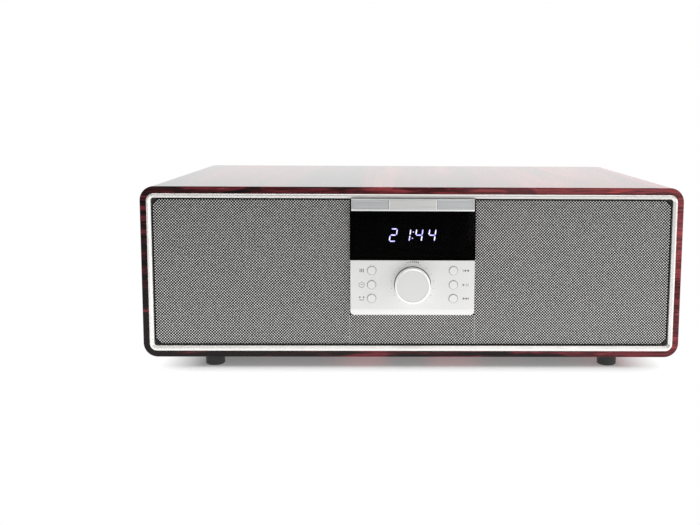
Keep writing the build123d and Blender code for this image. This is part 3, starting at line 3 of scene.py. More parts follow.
import bmesh
import bpy
from mathutils import Matrix, Vector


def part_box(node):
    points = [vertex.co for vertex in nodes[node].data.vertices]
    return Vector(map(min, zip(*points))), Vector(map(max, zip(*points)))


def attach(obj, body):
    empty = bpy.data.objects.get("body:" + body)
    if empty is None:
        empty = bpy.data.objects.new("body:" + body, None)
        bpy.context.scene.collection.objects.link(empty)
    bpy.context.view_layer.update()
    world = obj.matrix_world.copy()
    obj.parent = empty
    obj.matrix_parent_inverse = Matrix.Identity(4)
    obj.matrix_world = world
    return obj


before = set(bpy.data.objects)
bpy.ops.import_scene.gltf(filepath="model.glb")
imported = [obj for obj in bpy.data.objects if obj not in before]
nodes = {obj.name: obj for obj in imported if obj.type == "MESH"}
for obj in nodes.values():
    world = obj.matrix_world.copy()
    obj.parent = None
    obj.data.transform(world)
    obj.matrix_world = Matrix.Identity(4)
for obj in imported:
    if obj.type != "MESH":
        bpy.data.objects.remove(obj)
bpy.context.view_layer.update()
scene = bpy.context.scene

# ------------------------------------------------------------------ camera
# Stands about a metre in front of the cabinet, a little left of its middle and above
# its top, and looks slightly down.
lens_mm = 47.01
principal_x = 403.35
principal_y = 215.0
picture = (700, 525)
camera_place = (-0.024, -1.1159, 0.277)
camera_data = bpy.data.cameras.new("camera")
camera_data.lens = lens_mm
camera_data.shift_x = -(principal_x - picture[0] / 2) / picture[0]
camera_data.shift_y = -(picture[1] / 2 - principal_y) / picture[0]
camera = bpy.data.objects.new("camera", camera_data)
scene.collection.objects.link(camera)
pitch, yaw, roll = math.radians(6.797), math.radians(-0.845), math.radians(0.300)
turn = Matrix.Rotation(yaw, 4, "Z") @ Matrix.Rotation(math.pi / 2 - pitch, 4, "X")
camera.matrix_world = Matrix.Translation(camera_place) @ turn @ Matrix.Rotation(roll, 4, "Z")
scene.camera = camera
scene.view_settings.view_transform = "Standard"

# ------------------------------------------------------------------ light and floor
# A white studio: plain light from all round, large soft lamps above, behind, in front and
# at the right, and a pale floor that keeps the shadow under the cabinet.
ambient = 0.30
brightest_way = (0.40, 0.85, -0.33)
world = bpy.data.worlds.new("studio")
scene.world = world
world.use_nodes = True
sky = world.node_tree
sky.nodes.clear()
path = sky.nodes.new("ShaderNodeLightPath")
plain_light = sky.nodes.new("ShaderNodeBackground")
plain_light.inputs["Color"].default_value = (ambient, ambient, ambient, 1)
towards = sky.nodes.new("ShaderNodeTexCoord")
room = sky.nodes.new("ShaderNodeVectorMath")
room.operation = "DOT_PRODUCT"
room.inputs[1].default_value = brightest_way
room_tone = sky.nodes.new("ShaderNodeMapRange")
room_tone.inputs["From Min"].default_value = -1.0
room_tone.inputs["From Max"].default_value = 0.5
room_tone.inputs["To Min"].default_value = 0.42
room_tone.inputs["To Max"].default_value = 1.15
mirrored = sky.nodes.new("ShaderNodeBackground")
white = sky.nodes.new("ShaderNodeBackground")
white.inputs["Color"].default_value = (1, 1, 1, 1)
seen = sky.nodes.new("ShaderNodeMath")
seen.operation = "MAXIMUM"
glossy_or_not = sky.nodes.new("ShaderNodeMixShader")
white_or_not = sky.nodes.new("ShaderNodeMixShader")
out = sky.nodes.new("ShaderNodeOutputWorld")
for source, target in (
        (towards.outputs["Generated"], room.inputs[0]),
        (room.outputs["Value"], room_tone.inputs["Value"]),
        (room_tone.outputs["Result"], mirrored.inputs["Color"]),
        (path.outputs["Is Glossy Ray"], glossy_or_not.inputs[0]),
        (plain_light.outputs[0], glossy_or_not.inputs[1]),
        (mirrored.outputs[0], glossy_or_not.inputs[2]),
        (path.outputs["Is Camera Ray"], seen.inputs[0]),
        (path.outputs["Is Transmission Ray"], seen.inputs[1]),
        (seen.outputs[0], white_or_not.inputs[0]),
        (glossy_or_not.outputs[0], white_or_not.inputs[1]),
        (white.outputs[0], white_or_not.inputs[2]),
        (white_or_not.outputs[0], out.inputs["Surface"])):
    sky.links.new(source, target)


def soft_lamp(name, place, target, size, watts):
    """A rectangular soft lamp that faces a point."""
    lamp = bpy.data.lights.new(name, "AREA")
    lamp.shape = "RECTANGLE"
    lamp.size, lamp.size_y = size
    lamp.energy = watts
    holder = bpy.data.objects.new(name, lamp)
    scene.collection.objects.link(holder)
    holder.location = place
    holder.rotation_euler = (Vector(target) - Vector(place)).to_track_quat("-Z", "Y").to_euler()


soft_lamp("lamp_above", (0.2, 0.6, 2.0), (0, 0.1, 0.1), (2.4, 1.4), 22)
soft_lamp("lamp_right", (1.9, -0.9, 0.4), (0, 0, 0.1), (1.2, 0.7), 8)
soft_lamp("lamp_over_front", (-0.05, -0.45, 1.5), (0, -0.17, 0.1), (1.8, 0.5), 6)
soft_lamp("lamp_low_front", (0.45, -0.95, 0.02), (0.05, -0.17, 0.05), (0.7, 0.3), 1.0)
soft_lamp("lamp_behind", (0.0, 2.0, 1.2), (0, 0, 0.1), (2.2, 1.2), 18)


def display_colour(red, green, blue):
    """Linear colour, with alpha, of a display colour given from 0 to 255."""
    def linear(value):
        value /= 255
        return value / 12.92 if value <= 0.04045 else ((value + 0.055) / 1.055) ** 2.4
    return (linear(red), linear(green), linear(blue), 1.0)


def bare_finish(name, colour, roughness, metallic=0.0):
    """A material and its shader, with the values that are the same all over it."""
    material = bpy.data.materials.new(name)
    material.use_nodes = True
    shader = material.node_tree.nodes["Principled BSDF"]
    shader.inputs["Base Color"].default_value = display_colour(*colour)
    shader.inputs["Roughness"].default_value = roughness
    shader.inputs["Metallic"].default_value = metallic
    return material, shader


def pattern(shader, stretch, detail=4.0, distortion=0.0):
    """Noise on the piece's own coordinates, with so many cycles a metre each way."""
    tree = shader.id_data
    place = tree.nodes.new("ShaderNodeTexCoord")
    mapping = tree.nodes.new("ShaderNodeMapping")
    mapping.inputs["Scale"].default_value = stretch
    texture = tree.nodes.new("ShaderNodeTexNoise")
    texture.inputs["Scale"].default_value = 1.0
    texture.inputs["Detail"].default_value = detail
    texture.inputs["Distortion"].default_value = distortion
    tree.links.new(place.outputs["Object"], mapping.inputs["Vector"])
    tree.links.new(mapping.outputs["Vector"], texture.inputs["Vector"])
    return texture.outputs["Fac"]


def colours(shader, value, stops):
    """The base colour follows a pattern through these (place, colour) stops."""
    tree = shader.id_data
    ramp = tree.nodes.new("ShaderNodeValToRGB")
    for number, (place, colour) in enumerate(stops):
        step = ramp.color_ramp.elements[number] if number < 2 else ramp.color_ramp.elements.new(place)
        step.position = place
        step.color = display_colour(*colour)
    tree.links.new(value, ramp.inputs["Fac"])
    tree.links.new(ramp.outputs["Color"], shader.inputs["Base Color"])
    return ramp.outputs["Color"]


def level(shader, axis, start, end):
    """A value that runs from 0 to 1 between two places along X, Y or Z."""
    tree = shader.id_data
    place = tree.nodes.new("ShaderNodeTexCoord")
    split = tree.nodes.new("ShaderNodeSeparateXYZ")
    span = tree.nodes.new("ShaderNodeMapRange")
    span.inputs["From Min"].default_value = start
    span.inputs["From Max"].default_value = end
    tree.links.new(place.outputs["Object"], split.inputs["Vector"])
    tree.links.new(split.outputs[axis], span.inputs["Value"])
    return span.outputs["Result"]


def uneven(shader, value, low, high):
    """Roughness wanders between two values with a pattern."""
    tree = shader.id_data
    span = tree.nodes.new("ShaderNodeMapRange")
    span.inputs["From Min"].default_value = 0.3
    span.inputs["From Max"].default_value = 0.7
    span.inputs["To Min"].default_value = low
    span.inputs["To Max"].default_value = high
    tree.links.new(value, span.inputs["Value"])
    tree.links.new(span.outputs["Result"], shader.inputs["Roughness"])


def relief(shader, value, height, strength=0.6):
    """Fine relief of this height in metres, from a pattern."""
    tree = shader.id_data
    bump = tree.nodes.new("ShaderNodeBump")
    bump.inputs["Strength"].default_value = strength
    bump.inputs["Distance"].default_value = height
    tree.links.new(value, bump.inputs["Height"])
    tree.links.new(bump.outputs["Normal"], shader.inputs["Normal"])


floor_half = 6.0
shadow_half = (0.222, 0.159, 9.0)
shadow_stretch = (0.55, 1, 1)
shadow_fade = 0.026
floor_finish = bpy.data.materials.new("floor_paper")
floor_finish.use_nodes = True
paper = floor_finish.node_tree
paper.nodes.clear()
paper_place = paper.nodes.new("ShaderNodeTexCoord")
paper_mottle = paper.nodes.new("ShaderNodeTexNoise")
paper_mottle.inputs["Scale"].default_value = 3.0
paper_colours = paper.nodes.new("ShaderNodeValToRGB")
paper_colours.color_ramp.elements[0].color = (0.94, 0.94, 0.94, 1)
paper_colours.color_ramp.elements[1].color = (0.96, 0.96, 0.96, 1)
paper_matt = paper.nodes.new("ShaderNodeBsdfDiffuse")
paper_far = paper.nodes.new("ShaderNodeEmission")
fade_steps = []
for operation, amounts in (("ABSOLUTE", None), ("SUBTRACT", shadow_half), ("MAXIMUM", (0, 0, 0)),
                           ("MULTIPLY", shadow_stretch), ("LENGTH", None)):
    step = paper.nodes.new("ShaderNodeVectorMath")
    step.operation = operation
    if amounts:
        step.inputs[1].default_value = amounts
    fade_steps.append(step)
paper_fade = paper.nodes.new("ShaderNodeMapRange")
paper_fade.inputs["From Max"].default_value = shadow_fade
paper_fade.inputs["To Min"].default_value = 0.2
paper_path = paper.nodes.new("ShaderNodeLightPath")
paper_seen = paper.nodes.new("ShaderNodeMath")
paper_seen.operation = "MULTIPLY"
paper_mix = paper.nodes.new("ShaderNodeMixShader")
paper_bounce = paper.nodes.new("ShaderNodeEmission")
paper_across = paper.nodes.new("ShaderNodeSeparateXYZ")
paper_near = paper.nodes.new("ShaderNodeMapRange")
paper_near.interpolation_type = "SMOOTHSTEP"
paper_near.inputs["From Min"].default_value = -0.75
paper_near.inputs["From Max"].default_value = -0.20
paper_near.inputs["To Min"].default_value = 0.10
paper_near.inputs["To Max"].default_value = 1.10
paper_bounced = paper.nodes.new("ShaderNodeMath")
paper_bounced.operation = "MULTIPLY"
paper_unseen = paper.nodes.new("ShaderNodeMath")
paper_unseen.operation = "SUBTRACT"
paper_unseen.inputs[0].default_value = 1.0
paper_add = paper.nodes.new("ShaderNodeAddShader")
paper_out = paper.nodes.new("ShaderNodeOutputMaterial")
for source, target in (
        (paper_place.outputs["Object"], paper_mottle.inputs["Vector"]),
        (paper_mottle.outputs["Fac"], paper_colours.inputs["Fac"]),
        (paper_colours.outputs["Color"], paper_matt.inputs["Color"]),
        (paper_place.outputs["Object"], fade_steps[0].inputs[0]),
        (fade_steps[0].outputs["Vector"], fade_steps[1].inputs[0]),
        (fade_steps[1].outputs["Vector"], fade_steps[2].inputs[0]),
        (fade_steps[2].outputs["Vector"], fade_steps[3].inputs[0]),
        (fade_steps[3].outputs["Vector"], fade_steps[4].inputs[0]),
        (fade_steps[4].outputs["Value"], paper_fade.inputs["Value"]),
        (paper_path.outputs["Is Camera Ray"], paper_seen.inputs[0]),
        (paper_fade.outputs["Result"], paper_seen.inputs[1]),
        (paper_seen.outputs["Value"], paper_mix.inputs["Fac"]),
        (paper_path.outputs["Is Camera Ray"], paper_unseen.inputs[1]),
        (paper_place.outputs["Object"], paper_across.inputs["Vector"]),
        (paper_across.outputs["Y"], paper_near.inputs["Value"]),
        (paper_near.outputs["Result"], paper_bounced.inputs[1]),
        (paper_unseen.outputs["Value"], paper_bounced.inputs[0]),
        (paper_bounced.outputs["Value"], paper_bounce.inputs["Strength"]),
        (paper_matt.outputs["BSDF"], paper_add.inputs[0]),
        (paper_bounce.outputs["Emission"], paper_add.inputs[1]),
        (paper_add.outputs["Shader"], paper_mix.inputs[1]),
        (paper_far.outputs["Emission"], paper_mix.inputs[2]),
        (paper_mix.outputs["Shader"], paper_out.inputs["Surface"])):
    paper.links.new(source, target)
floor_mesh = bmesh.new()
bmesh.ops.create_grid(floor_mesh, x_segments=1, y_segments=1, size=floor_half)
floor = bpy.data.objects.new("floor", bpy.data.meshes.new("floor"))
floor_mesh.to_mesh(floor.data)
floor_mesh.free()
floor.data.materials.append(floor_finish)
scene.collection.objects.link(floor)


# ------------------------------------------------------------------ cabinet
# A sleeve of board wrapped in rosewood veneer with the grain running front to back, then
# lacquered. The front edge shows the ends of its dark and red stripes.
def dress(node, material):
    """Gives a CAD node its finish."""
    nodes[node].material_slots[0].material = material


veneer, veneer_shader = bare_finish("rosewood_veneer", (70, 20, 26), 0.35)
veneer_shader.inputs["Specular IOR Level"].default_value = 0.0
veneer_shader.inputs["Coat Weight"].default_value = 1.0
veneer_shader.inputs["Coat IOR"].default_value = 1.24
veneer_shader.inputs["Coat Roughness"].default_value = 0.1
veneer_shader.inputs["Coat Tint"].default_value = (1.0, 0.93, 0.90, 1)
stripes = pattern(veneer_shader, (17, 0.9, 120), detail=3.0, distortion=0.4)
veneer_tree = veneer.node_tree
across = veneer_tree.nodes.new("ShaderNodeSeparateXYZ")
veneer_tree.links.new(veneer_tree.nodes["Texture Coordinate"].outputs["Object"], across.inputs["Vector"])
# The stripes are pushed towards the paler, redder stops to the right and upwards: painted light from the
# right, and painted shade towards the bottom.
painted_light_from_right = veneer_tree.nodes.new("ShaderNodeMapRange")
painted_light_from_right.inputs["From Min"].default_value = -0.3
painted_light_from_right.inputs["From Max"].default_value = 0.3
painted_light_from_right.inputs["To Min"].default_value = -0.17
painted_light_from_right.inputs["To Max"].default_value = 0.12
veneer_tree.links.new(across.outputs["X"], painted_light_from_right.inputs["Value"])
painted_shade_low_down = veneer_tree.nodes.new("ShaderNodeMapRange")
painted_shade_low_down.inputs["From Max"].default_value = 0.19
painted_shade_low_down.inputs["To Min"].default_value = -0.13
painted_shade_low_down.inputs["To Max"].default_value = 0.05
veneer_tree.links.new(across.outputs["Z"], painted_shade_low_down.inputs["Value"])
shifts = veneer_tree.nodes.new("ShaderNodeMath")
veneer_tree.links.new(painted_light_from_right.outputs["Result"], shifts.inputs[0])
veneer_tree.links.new(painted_shade_low_down.outputs["Result"], shifts.inputs[1])
shifted = veneer_tree.nodes.new("ShaderNodeMath")
veneer_tree.links.new(stripes, shifted.inputs[0])
veneer_tree.links.new(shifts.outputs["Value"], shifted.inputs[1])
wood_colour = colours(veneer_shader, shifted.outputs["Value"],
                      [(0.28, (22, 12, 14)), (0.80, (188, 76, 80)), (0.38, (52, 22, 26)),
                       (0.47, (112, 42, 50)), (0.54, (84, 34, 40)), (0.62, (146, 62, 68)),
                       (0.70, (128, 52, 58))])
streaks = pattern(veneer_shader, (24, 3.0, 560), detail=5.0)
streak_stops = veneer_tree.nodes.new("ShaderNodeValToRGB")
streak_stops.color_ramp.elements[0].position = 0.38
streak_stops.color_ramp.elements[0].color = (0.25, 0.22, 0.22, 1)
streak_stops.color_ramp.elements[1].position = 0.55
streak_stops.color_ramp.elements[1].color = (1, 1, 1, 1)
veneer_tree.links.new(streaks, streak_stops.inputs["Fac"])
darken = veneer_tree.nodes.new("ShaderNodeMix")
darken.data_type = "RGBA"
darken.blend_type = "MULTIPLY"
darken.inputs["Factor"].default_value = 0.8
veneer_tree.links.new(wood_colour, darken.inputs["A"])
veneer_tree.links.new(streak_stops.outputs["Color"], darken.inputs["B"])
veneer_tree.links.new(darken.outputs["Result"], veneer_shader.inputs["Base Color"])
uneven(veneer_shader, streaks, 0.30, 0.42)
relief(veneer_shader, streaks, 0.00001, 0.15)
dress("cabinet_shell", veneer)

# ------------------------------------------------------------------ feet
# Round feet of hard black rubber, each screwed up into the base board.
rubber, rubber_shader = bare_finish("black_rubber", (22, 22, 22), 0.75)
rubber_grain = pattern(rubber_shader, (900, 900, 900))
colours(rubber_shader, rubber_grain, [(0.35, (17, 17, 17)), (0.65, (30, 30, 30))])
uneven(rubber_shader, rubber_grain, 0.62, 0.85)
relief(rubber_shader, rubber_grain, 0.0001)
dress("feet", rubber)

# ------------------------------------------------------------------ front frame
# A moulded ring sprayed satin silver, let into the cabinet's front edge. Its inner edge
# slopes down to the grille.
silver, silver_shader = bare_finish("satin_silver", (217, 215, 212), 0.34, 0.6)
flake = pattern(silver_shader, (2600, 2600, 2600), detail=2.0)
colours(silver_shader, flake, [(0.35, (210, 208, 205)), (0.65, (224, 222, 219))])
uneven(silver_shader, pattern(silver_shader, (60, 60, 60)), 0.30, 0.40)
relief(silver_shader, flake, 0.00001, 0.3)
dress("front_frame", silver)


# ------------------------------------------------------------------ grille
# Silver threads woven on the slant over black cloth, stretched on a black frame that is
# pegged into the baffle. The black cloth shows through the holes; the threads are painted
# white at their crossings and dark where they dip: painted highlight and painted shade.
def fine_finish(name, dark, light, roughness, cycles, height, metallic=0.0):
    """An even finish with fine grain: two close colours, uneven gloss and low relief."""
    material, shader = bare_finish(name, dark, roughness, metallic)
    grain = pattern(shader, cycles)
    colours(shader, grain, [(0.35, dark), (0.65, light)])
    uneven(shader, grain, roughness - 0.07, roughness + 0.07)
    relief(shader, grain, height)
    return material


def place_piece(name, mesh, material, body):
    """Makes a scene object from a finished mesh, and fixes it to a body of the frame."""
    piece = bpy.data.objects.new(name, bpy.data.meshes.new(name))
    mesh.to_mesh(piece.data)
    mesh.free()
    piece.data.materials.append(material)
    scene.collection.objects.link(piece)
    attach(piece, body)


def add_piece(name, mesh, material, body):
    """Turns the faces of a closed shape outwards, then places it."""
    bmesh.ops.recalc_face_normals(mesh, faces=mesh.faces)
    place_piece(name, mesh, material, body)


black_cloth = fine_finish("black_cloth", (3, 3, 3), (9, 9, 9), 0.9, (1800, 1800, 1800), 0.0001)
black_moulding = fine_finish("black_moulding", (12, 12, 13), (20, 20, 21), 0.6, (1400, 1400, 1400), 0.00006)
black_board = fine_finish("black_board", (20, 20, 20), (31, 31, 31), 0.7, (260, 260, 900), 0.0001)
thread_silver, thread_shader = bare_finish("silver_thread", (200, 201, 197), 0.42, 0.1)
uneven(thread_shader, pattern(thread_shader, (700, 700, 700)), 0.36, 0.50)
dress("grille_mesh", black_cloth)
dress("grille_frame", black_moulding)
dress("baffle", black_board)

thread_pitch = 0.00212
knot_width = 0.00142
neck_width = 0.00056
thread_rise = 0.00022
thread_crown = 0.00010
knot_starts = 0.5
net_lift = 0.00022
net_corner = 0.008
mesh_low, mesh_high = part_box("grille_mesh")
net_y = mesh_low.y - net_lift
notch_x = 0.0662
notch_z = 0.0566


def shifted_copy(mesh, step, quarter_turn=False):
    """Copies all that is in the mesh, turned a quarter round if asked, and moves the copy."""
    found = bmesh.ops.duplicate(mesh, geom=mesh.verts[:] + mesh.edges[:] + mesh.faces[:])["geom"]
    fresh = [item for item in found if isinstance(item, bmesh.types.BMVert)]
    if quarter_turn:
        bmesh.ops.rotate(mesh, cent=(0, 0, 0), verts=fresh, matrix=Matrix.Rotation(math.pi / 2, 3, "Z"))
    bmesh.ops.translate(mesh, vec=step, verts=fresh)


def woven_net(low, high, corners):
    """Threads at 45 degrees over a rectangle of the front; corners are (x sign, z sign) to round."""
    middle = (Vector(low) + Vector(high)) / 2
    reach = (Vector(high) - Vector(low)).length / 2 + 2 * thread_pitch
    doublings = math.ceil(math.log2(2 * reach / thread_pitch))
    count = 2 ** doublings
    half = count * thread_pitch / 2
    net = bmesh.new()
    bmesh.ops.create_grid(net, x_segments=2 * count, y_segments=2, size=1.0)
    bmesh.ops.scale(net, vec=(half, 0.5, 1.0), verts=net.verts)
    for corner in net.verts:
        wave = math.cos(math.pi * (corner.co.x + half) / thread_pitch)
        crown = 1 - (2 * abs(corner.co.y)) ** 2
        width = neck_width
        if wave > knot_starts:
            width += (knot_width - neck_width) * wave
        corner.co.z = thread_rise * wave + thread_crown * crown
        corner.co.y *= width
    bmesh.ops.translate(net, vec=(thread_pitch / 2, thread_pitch / 2 - half, 0), verts=net.verts)
    shifted_copy(net, (thread_pitch, thread_pitch, 0))
    for doubling in range(1, doublings):
        shifted_copy(net, (0, thread_pitch * 2 ** doubling, 0))
    shifted_copy(net, (0, 0, 0), quarter_turn=True)
    stand = Matrix.Rotation(math.pi / 2, 3, "X") @ Matrix.Rotation(math.pi / 4, 3, "Z")
    bmesh.ops.rotate(net, cent=(0, 0, 0), matrix=stand, verts=net.verts)
    bmesh.ops.translate(net, vec=(middle.x, net_y, middle.z), verts=net.verts)
    cuts = [((low.x, 0, 0), (-1, 0, 0)), ((high.x, 0, 0), (1, 0, 0)),
            ((0, 0, low.z), (0, 0, -1)), ((0, 0, high.z), (0, 0, 1))]
    for side, end in corners:
        centre = Vector((high.x - net_corner if side > 0 else low.x + net_corner, 0,
                         high.z - net_corner if end > 0 else low.z + net_corner))
        for angle in (22.5, 45.0, 67.5):
            turned = math.radians(angle)
            outwards = Vector((side * math.cos(turned), 0, end * math.sin(turned)))
            cuts.append((centre + outwards * net_corner, outwards))
    for point, outwards in cuts:
        bmesh.ops.bisect_plane(net, geom=net.verts[:] + net.edges[:] + net.faces[:], plane_co=point,
                               plane_no=outwards, clear_outer=True)
    return net


# The threads are painted white at their crests and near-black where they dip towards the cloth: a painted
# highlight and painted shade.
colours(thread_shader, level(thread_shader, "Y", net_y, net_y - thread_rise - thread_crown),
        [(0.42, (22, 22, 21)), (0.80, (255, 255, 253))])

edge_gap = 0.0010
net_low = Vector((mesh_low.x + edge_gap, 0, mesh_low.z + edge_gap))
net_high = Vector((mesh_high.x - edge_gap, 0, mesh_high.z - edge_gap))
net_areas = {
    "net_left": (net_low, Vector((-notch_x, 0, net_high.z)), [(-1, -1), (-1, 1)]),
    "net_right": (Vector((notch_x, 0, net_low.z)), net_high, [(1, -1), (1, 1)]),
    "net_below": (Vector((-notch_x, 0, net_low.z)), Vector((notch_x, 0, notch_z)), []),
}
for name, (low, high, corners) in net_areas.items():
    net = woven_net(low, high, corners)
    for face in net.faces:
        face.smooth = True
    place_piece(name, net, thread_silver, "cabinet")

# ------------------------------------------------------------------ loudspeakers
# Pressed steel baskets with ferrite magnets, black paper cones and rubber roll surrounds,
# bolted to the back of the baffle.
zinc = fine_finish("zinc_plate", (150, 150, 146), (178, 178, 172), 0.38, (90, 90, 90), 0.00002, 1.0)
ferrite = fine_finish("ferrite", (38, 38, 40), (56, 56, 58), 0.7, (500, 500, 500), 0.0001)
paper_cone = fine_finish("pressed_paper", (24, 24, 25), (40, 40, 41), 0.85, (420, 420, 420), 0.00015)
for side in ("left", "right"):
    dress(f"speaker_basket_{side}", zinc)
    dress(f"speaker_cone_{side}", paper_cone)
dress("speaker_magnets", ferrite)
dress("speaker_surrounds", rubber)

# ------------------------------------------------------------------ control panel
# One moulding sprayed silver-white, with silver-capped buttons. Beside them are printed
# menu, power, source and transport signs, and round the knob a scale of dots with a
# tapering band over it.
panel_finish = fine_finish("panel_silver", (213, 213, 212), (223, 223, 222), 0.42, (2400, 2400, 2400),
                           0.00001, 0.12)
print_ink = fine_finish("grey_ink", (96, 96, 98), (118, 118, 120), 0.7, (900, 900, 900), 0.00001)
dress("control_panel", panel_finish)
cap_finish, cap_shader = bare_finish("cap_and_painted_gap_shade", (220, 220, 219), 0.42, 0.12)
cap_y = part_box("button_menu")[0].y
gap_shade_depth = 0.0009
# Behind the cap's face its sides are painted near-black: painted shade in the gap round each button.
colours(cap_shader, level(cap_shader, "Y", cap_y + gap_shade_depth, cap_y + 1.3 * gap_shade_depth),
        [(0.0, (220, 220, 219)), (1.0, (16, 16, 17))])
uneven(cap_shader, pattern(cap_shader, (300, 300, 300)), 0.38, 0.46)
for name in ("menu", "power", "source", "previous", "play", "next"):
    dress(f"button_{name}", cap_finish)
panel_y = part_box("control_panel")[0].y
ink_thick = 0.00006
sunk_in = 0.00001
knob_low, knob_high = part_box("volume_knob")
knob_z = (knob_low.z + knob_high.z) / 2
row_z = []
for name in ("menu", "power", "source"):
    button_low, button_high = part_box(f"button_{name}")
    row_z.append((button_low.z + button_high.z) / 2)
marks_left = -0.0535
marks_right = 0.0562


def flat_shape(mesh, points, thick):
    """A flat plate with this outline of (x, z) points; its back is at Y 0 and it grows forwards."""
    corners = [mesh.verts.new((x, 0, z)) for x, z in points]
    face = mesh.faces.new(corners)
    grown = bmesh.ops.extrude_face_region(mesh, geom=[face])["geom"]
    raised = [item for item in grown if isinstance(item, bmesh.types.BMVert)]
    bmesh.ops.translate(mesh, vec=(0, -thick, 0), verts=raised)


def bar(mesh, x, z, width, height, thick):
    """An upright rectangle round a centre."""
    half_x, half_z = width / 2, height / 2
    flat_shape(mesh, [(x - half_x, z - half_z), (x + half_x, z - half_z),
                      (x + half_x, z + half_z), (x - half_x, z + half_z)], thick)


def arrow_head(mesh, x, z, length, height, thick):
    """A triangle whose point is to +X, or to -X for a negative length."""
    flat_shape(mesh, [(x - length / 2, z - height / 2), (x + length / 2, z),
                      (x - length / 2, z + height / 2)], thick)


def arc_band(mesh, x, z, radius, width, start, end, steps, thick):
    """Part of a ring from one angle to another in degrees, or the whole ring."""
    spans = [start + (end - start) * step / steps for step in range(steps + 1)]
    for first, last in zip(spans, spans[1:]):
        corners = []
        for angle, reach in ((first, radius), (last, radius),
                             (last, radius + width), (first, radius + width)):
            turned = math.radians(angle)
            corners.append((x + reach * math.cos(turned), z + reach * math.sin(turned)))
        flat_shape(mesh, corners, thick)


def dot(mesh, x, z, radius, steps, thick):
    """A round dot made of this many wedges."""
    arc_band(mesh, x, z, 0.0, radius, 0, 360, steps, thick)


marks = bmesh.new()
sign_high = 0.0027
menu_bar = (0.0009, 0.0036)
menu_step = 0.0017
power_ring = (0.0026, 0.00045)
power_bar = (0.0018, 0.0008)
source_step = 0.0020
source_dot = 0.0009
source_base = (0.0042, 0.0006)
source_end = (0.0006, 0.0008)
stop_bar = (0.0005, sign_high)
stop_out = 0.0031
skip_arrow = 0.0027
play_arrow = 0.0024
for offset in (-menu_step, 0, menu_step):
    bar(marks, marks_left + offset, row_z[0], *menu_bar, ink_thick)
arc_band(marks, marks_left, row_z[1] - 0.0001, *power_ring, 0, 360, 28, ink_thick)
bar(marks, marks_left, row_z[1] + 0.0002, *power_bar, ink_thick)
for offset in (-source_step, source_step):
    dot(marks, marks_left + offset, row_z[2] + 0.0012, source_dot, 14, ink_thick)
bar(marks, marks_left, row_z[2] - 0.0018, *source_base, ink_thick)
for offset in (-0.0018, 0.0018):
    bar(marks, marks_left + offset, row_z[2] - 0.0012, *source_end, ink_thick)
bar(marks, marks_right - stop_out, row_z[0], *stop_bar, ink_thick)
for offset in (-0.0013, 0.0017):
    arrow_head(marks, marks_right + offset, row_z[0], -skip_arrow, sign_high, ink_thick)
arrow_head(marks, marks_right - 0.0022, row_z[1], play_arrow, sign_high, ink_thick)
for offset in (0.0009, 0.0023):
    bar(marks, marks_right + offset, row_z[1], *stop_bar, ink_thick)
for offset in (-0.0017, 0.0013):
    arrow_head(marks, marks_right + offset, row_z[2], skip_arrow, sign_high, ink_thick)
bar(marks, marks_right + stop_out, row_z[2], *stop_bar, ink_thick)
scale_radius = 0.0225
scale_start = 231
scale_sweep = 282
scale_gap = 15
scale_dot = 0.00038
dot_count = 15
for number in range(dot_count):
    angle = scale_start - scale_sweep * number / (dot_count - 1)
    if abs(angle - 90) < scale_gap:
        continue
    turned = math.radians(angle)
    dot(marks, scale_radius * math.cos(turned), knob_z + scale_radius * math.sin(turned), scale_dot, 10,
        ink_thick)
band_radius = 0.0238
band_start = 104
band_sweep = 28
band_parts = 7
for number in range(band_parts):
    angle = band_start - band_sweep * number / (band_parts - 1)
    arc_band(marks, 0, knob_z, band_radius - 0.0001 * number, 0.0005 + 0.0002 * number,
             angle - 1.5, angle + 1.5, 1, ink_thick)
bmesh.ops.translate(marks, vec=(0, panel_y + sunk_in, 0), verts=marks.verts)
bmesh.ops.remove_doubles(marks, verts=marks.verts, dist=1e-7)
add_piece("panel_marks", marks, print_ink, "cabinet")

# ------------------------------------------------------------------ volume knob
# A turned knob with a spun face on a steel shaft; its edge and side are painted white as a
# highlight. The ring that it stands in is silver, painted black at the knob's foot as shade.

def reach_from_knob(shader, start, end):
    """A value that runs from 0 to 1 between two radii about the knob's axis."""
    tree = shader.id_data
    place = tree.nodes.new("ShaderNodeTexCoord")
    flatten = tree.nodes.new("ShaderNodeVectorMath")
    flatten.operation = "MULTIPLY_ADD"
    flatten.inputs[1].default_value = (1, 0, 1)
    flatten.inputs[2].default_value = (0, 0, -knob_z)
    radius = tree.nodes.new("ShaderNodeVectorMath")
    radius.operation = "LENGTH"
    span = tree.nodes.new("ShaderNodeMapRange")
    span.inputs["From Min"].default_value = start
    span.inputs["From Max"].default_value = end
    tree.links.new(place.outputs["Object"], flatten.inputs[0])
    tree.links.new(flatten.outputs["Vector"], radius.inputs[0])
    tree.links.new(radius.outputs["Value"], span.inputs["Value"])
    return span.outputs["Result"]


knob_finish, knob_shader = bare_finish("spun_silver", (212, 212, 211), 0.34, 0.2)
knob_radius = (knob_high.z - knob_low.z) / 2
# The knob's edge and the side next to it are painted white: a painted highlight.
colours(knob_shader, reach_from_knob(knob_shader, knob_radius - 0.0016, knob_radius - 0.0012),
        [(0.0, (212, 212, 211)), (1.0, (255, 255, 255))])
spun = pattern(knob_shader, (2200, 60, 2200))
uneven(knob_shader, spun, 0.28, 0.40)
relief(knob_shader, spun, 0.00001)
ring_finish, ring_shader = bare_finish("ring_silver_and_painted_shade", (214, 214, 213), 0.45)
# Next to the knob's foot the ring is painted black: painted shade in the gap round the knob.
colours(ring_shader, reach_from_knob(ring_shader, knob_radius + 0.0008, knob_radius + 0.0010),
        [(0.0, (8, 8, 9)), (1.0, (222, 222, 221))])
uneven(ring_shader, pattern(ring_shader, (900, 900, 900)), 0.40, 0.55)
steel = fine_finish("ground_steel", (188, 188, 186), (206, 206, 204), 0.22, (300, 300, 300), 0.000005, 1.0)
dress("volume_knob", knob_finish)
dress("knob_ring", ring_finish)
dress("encoder_shaft", steel)

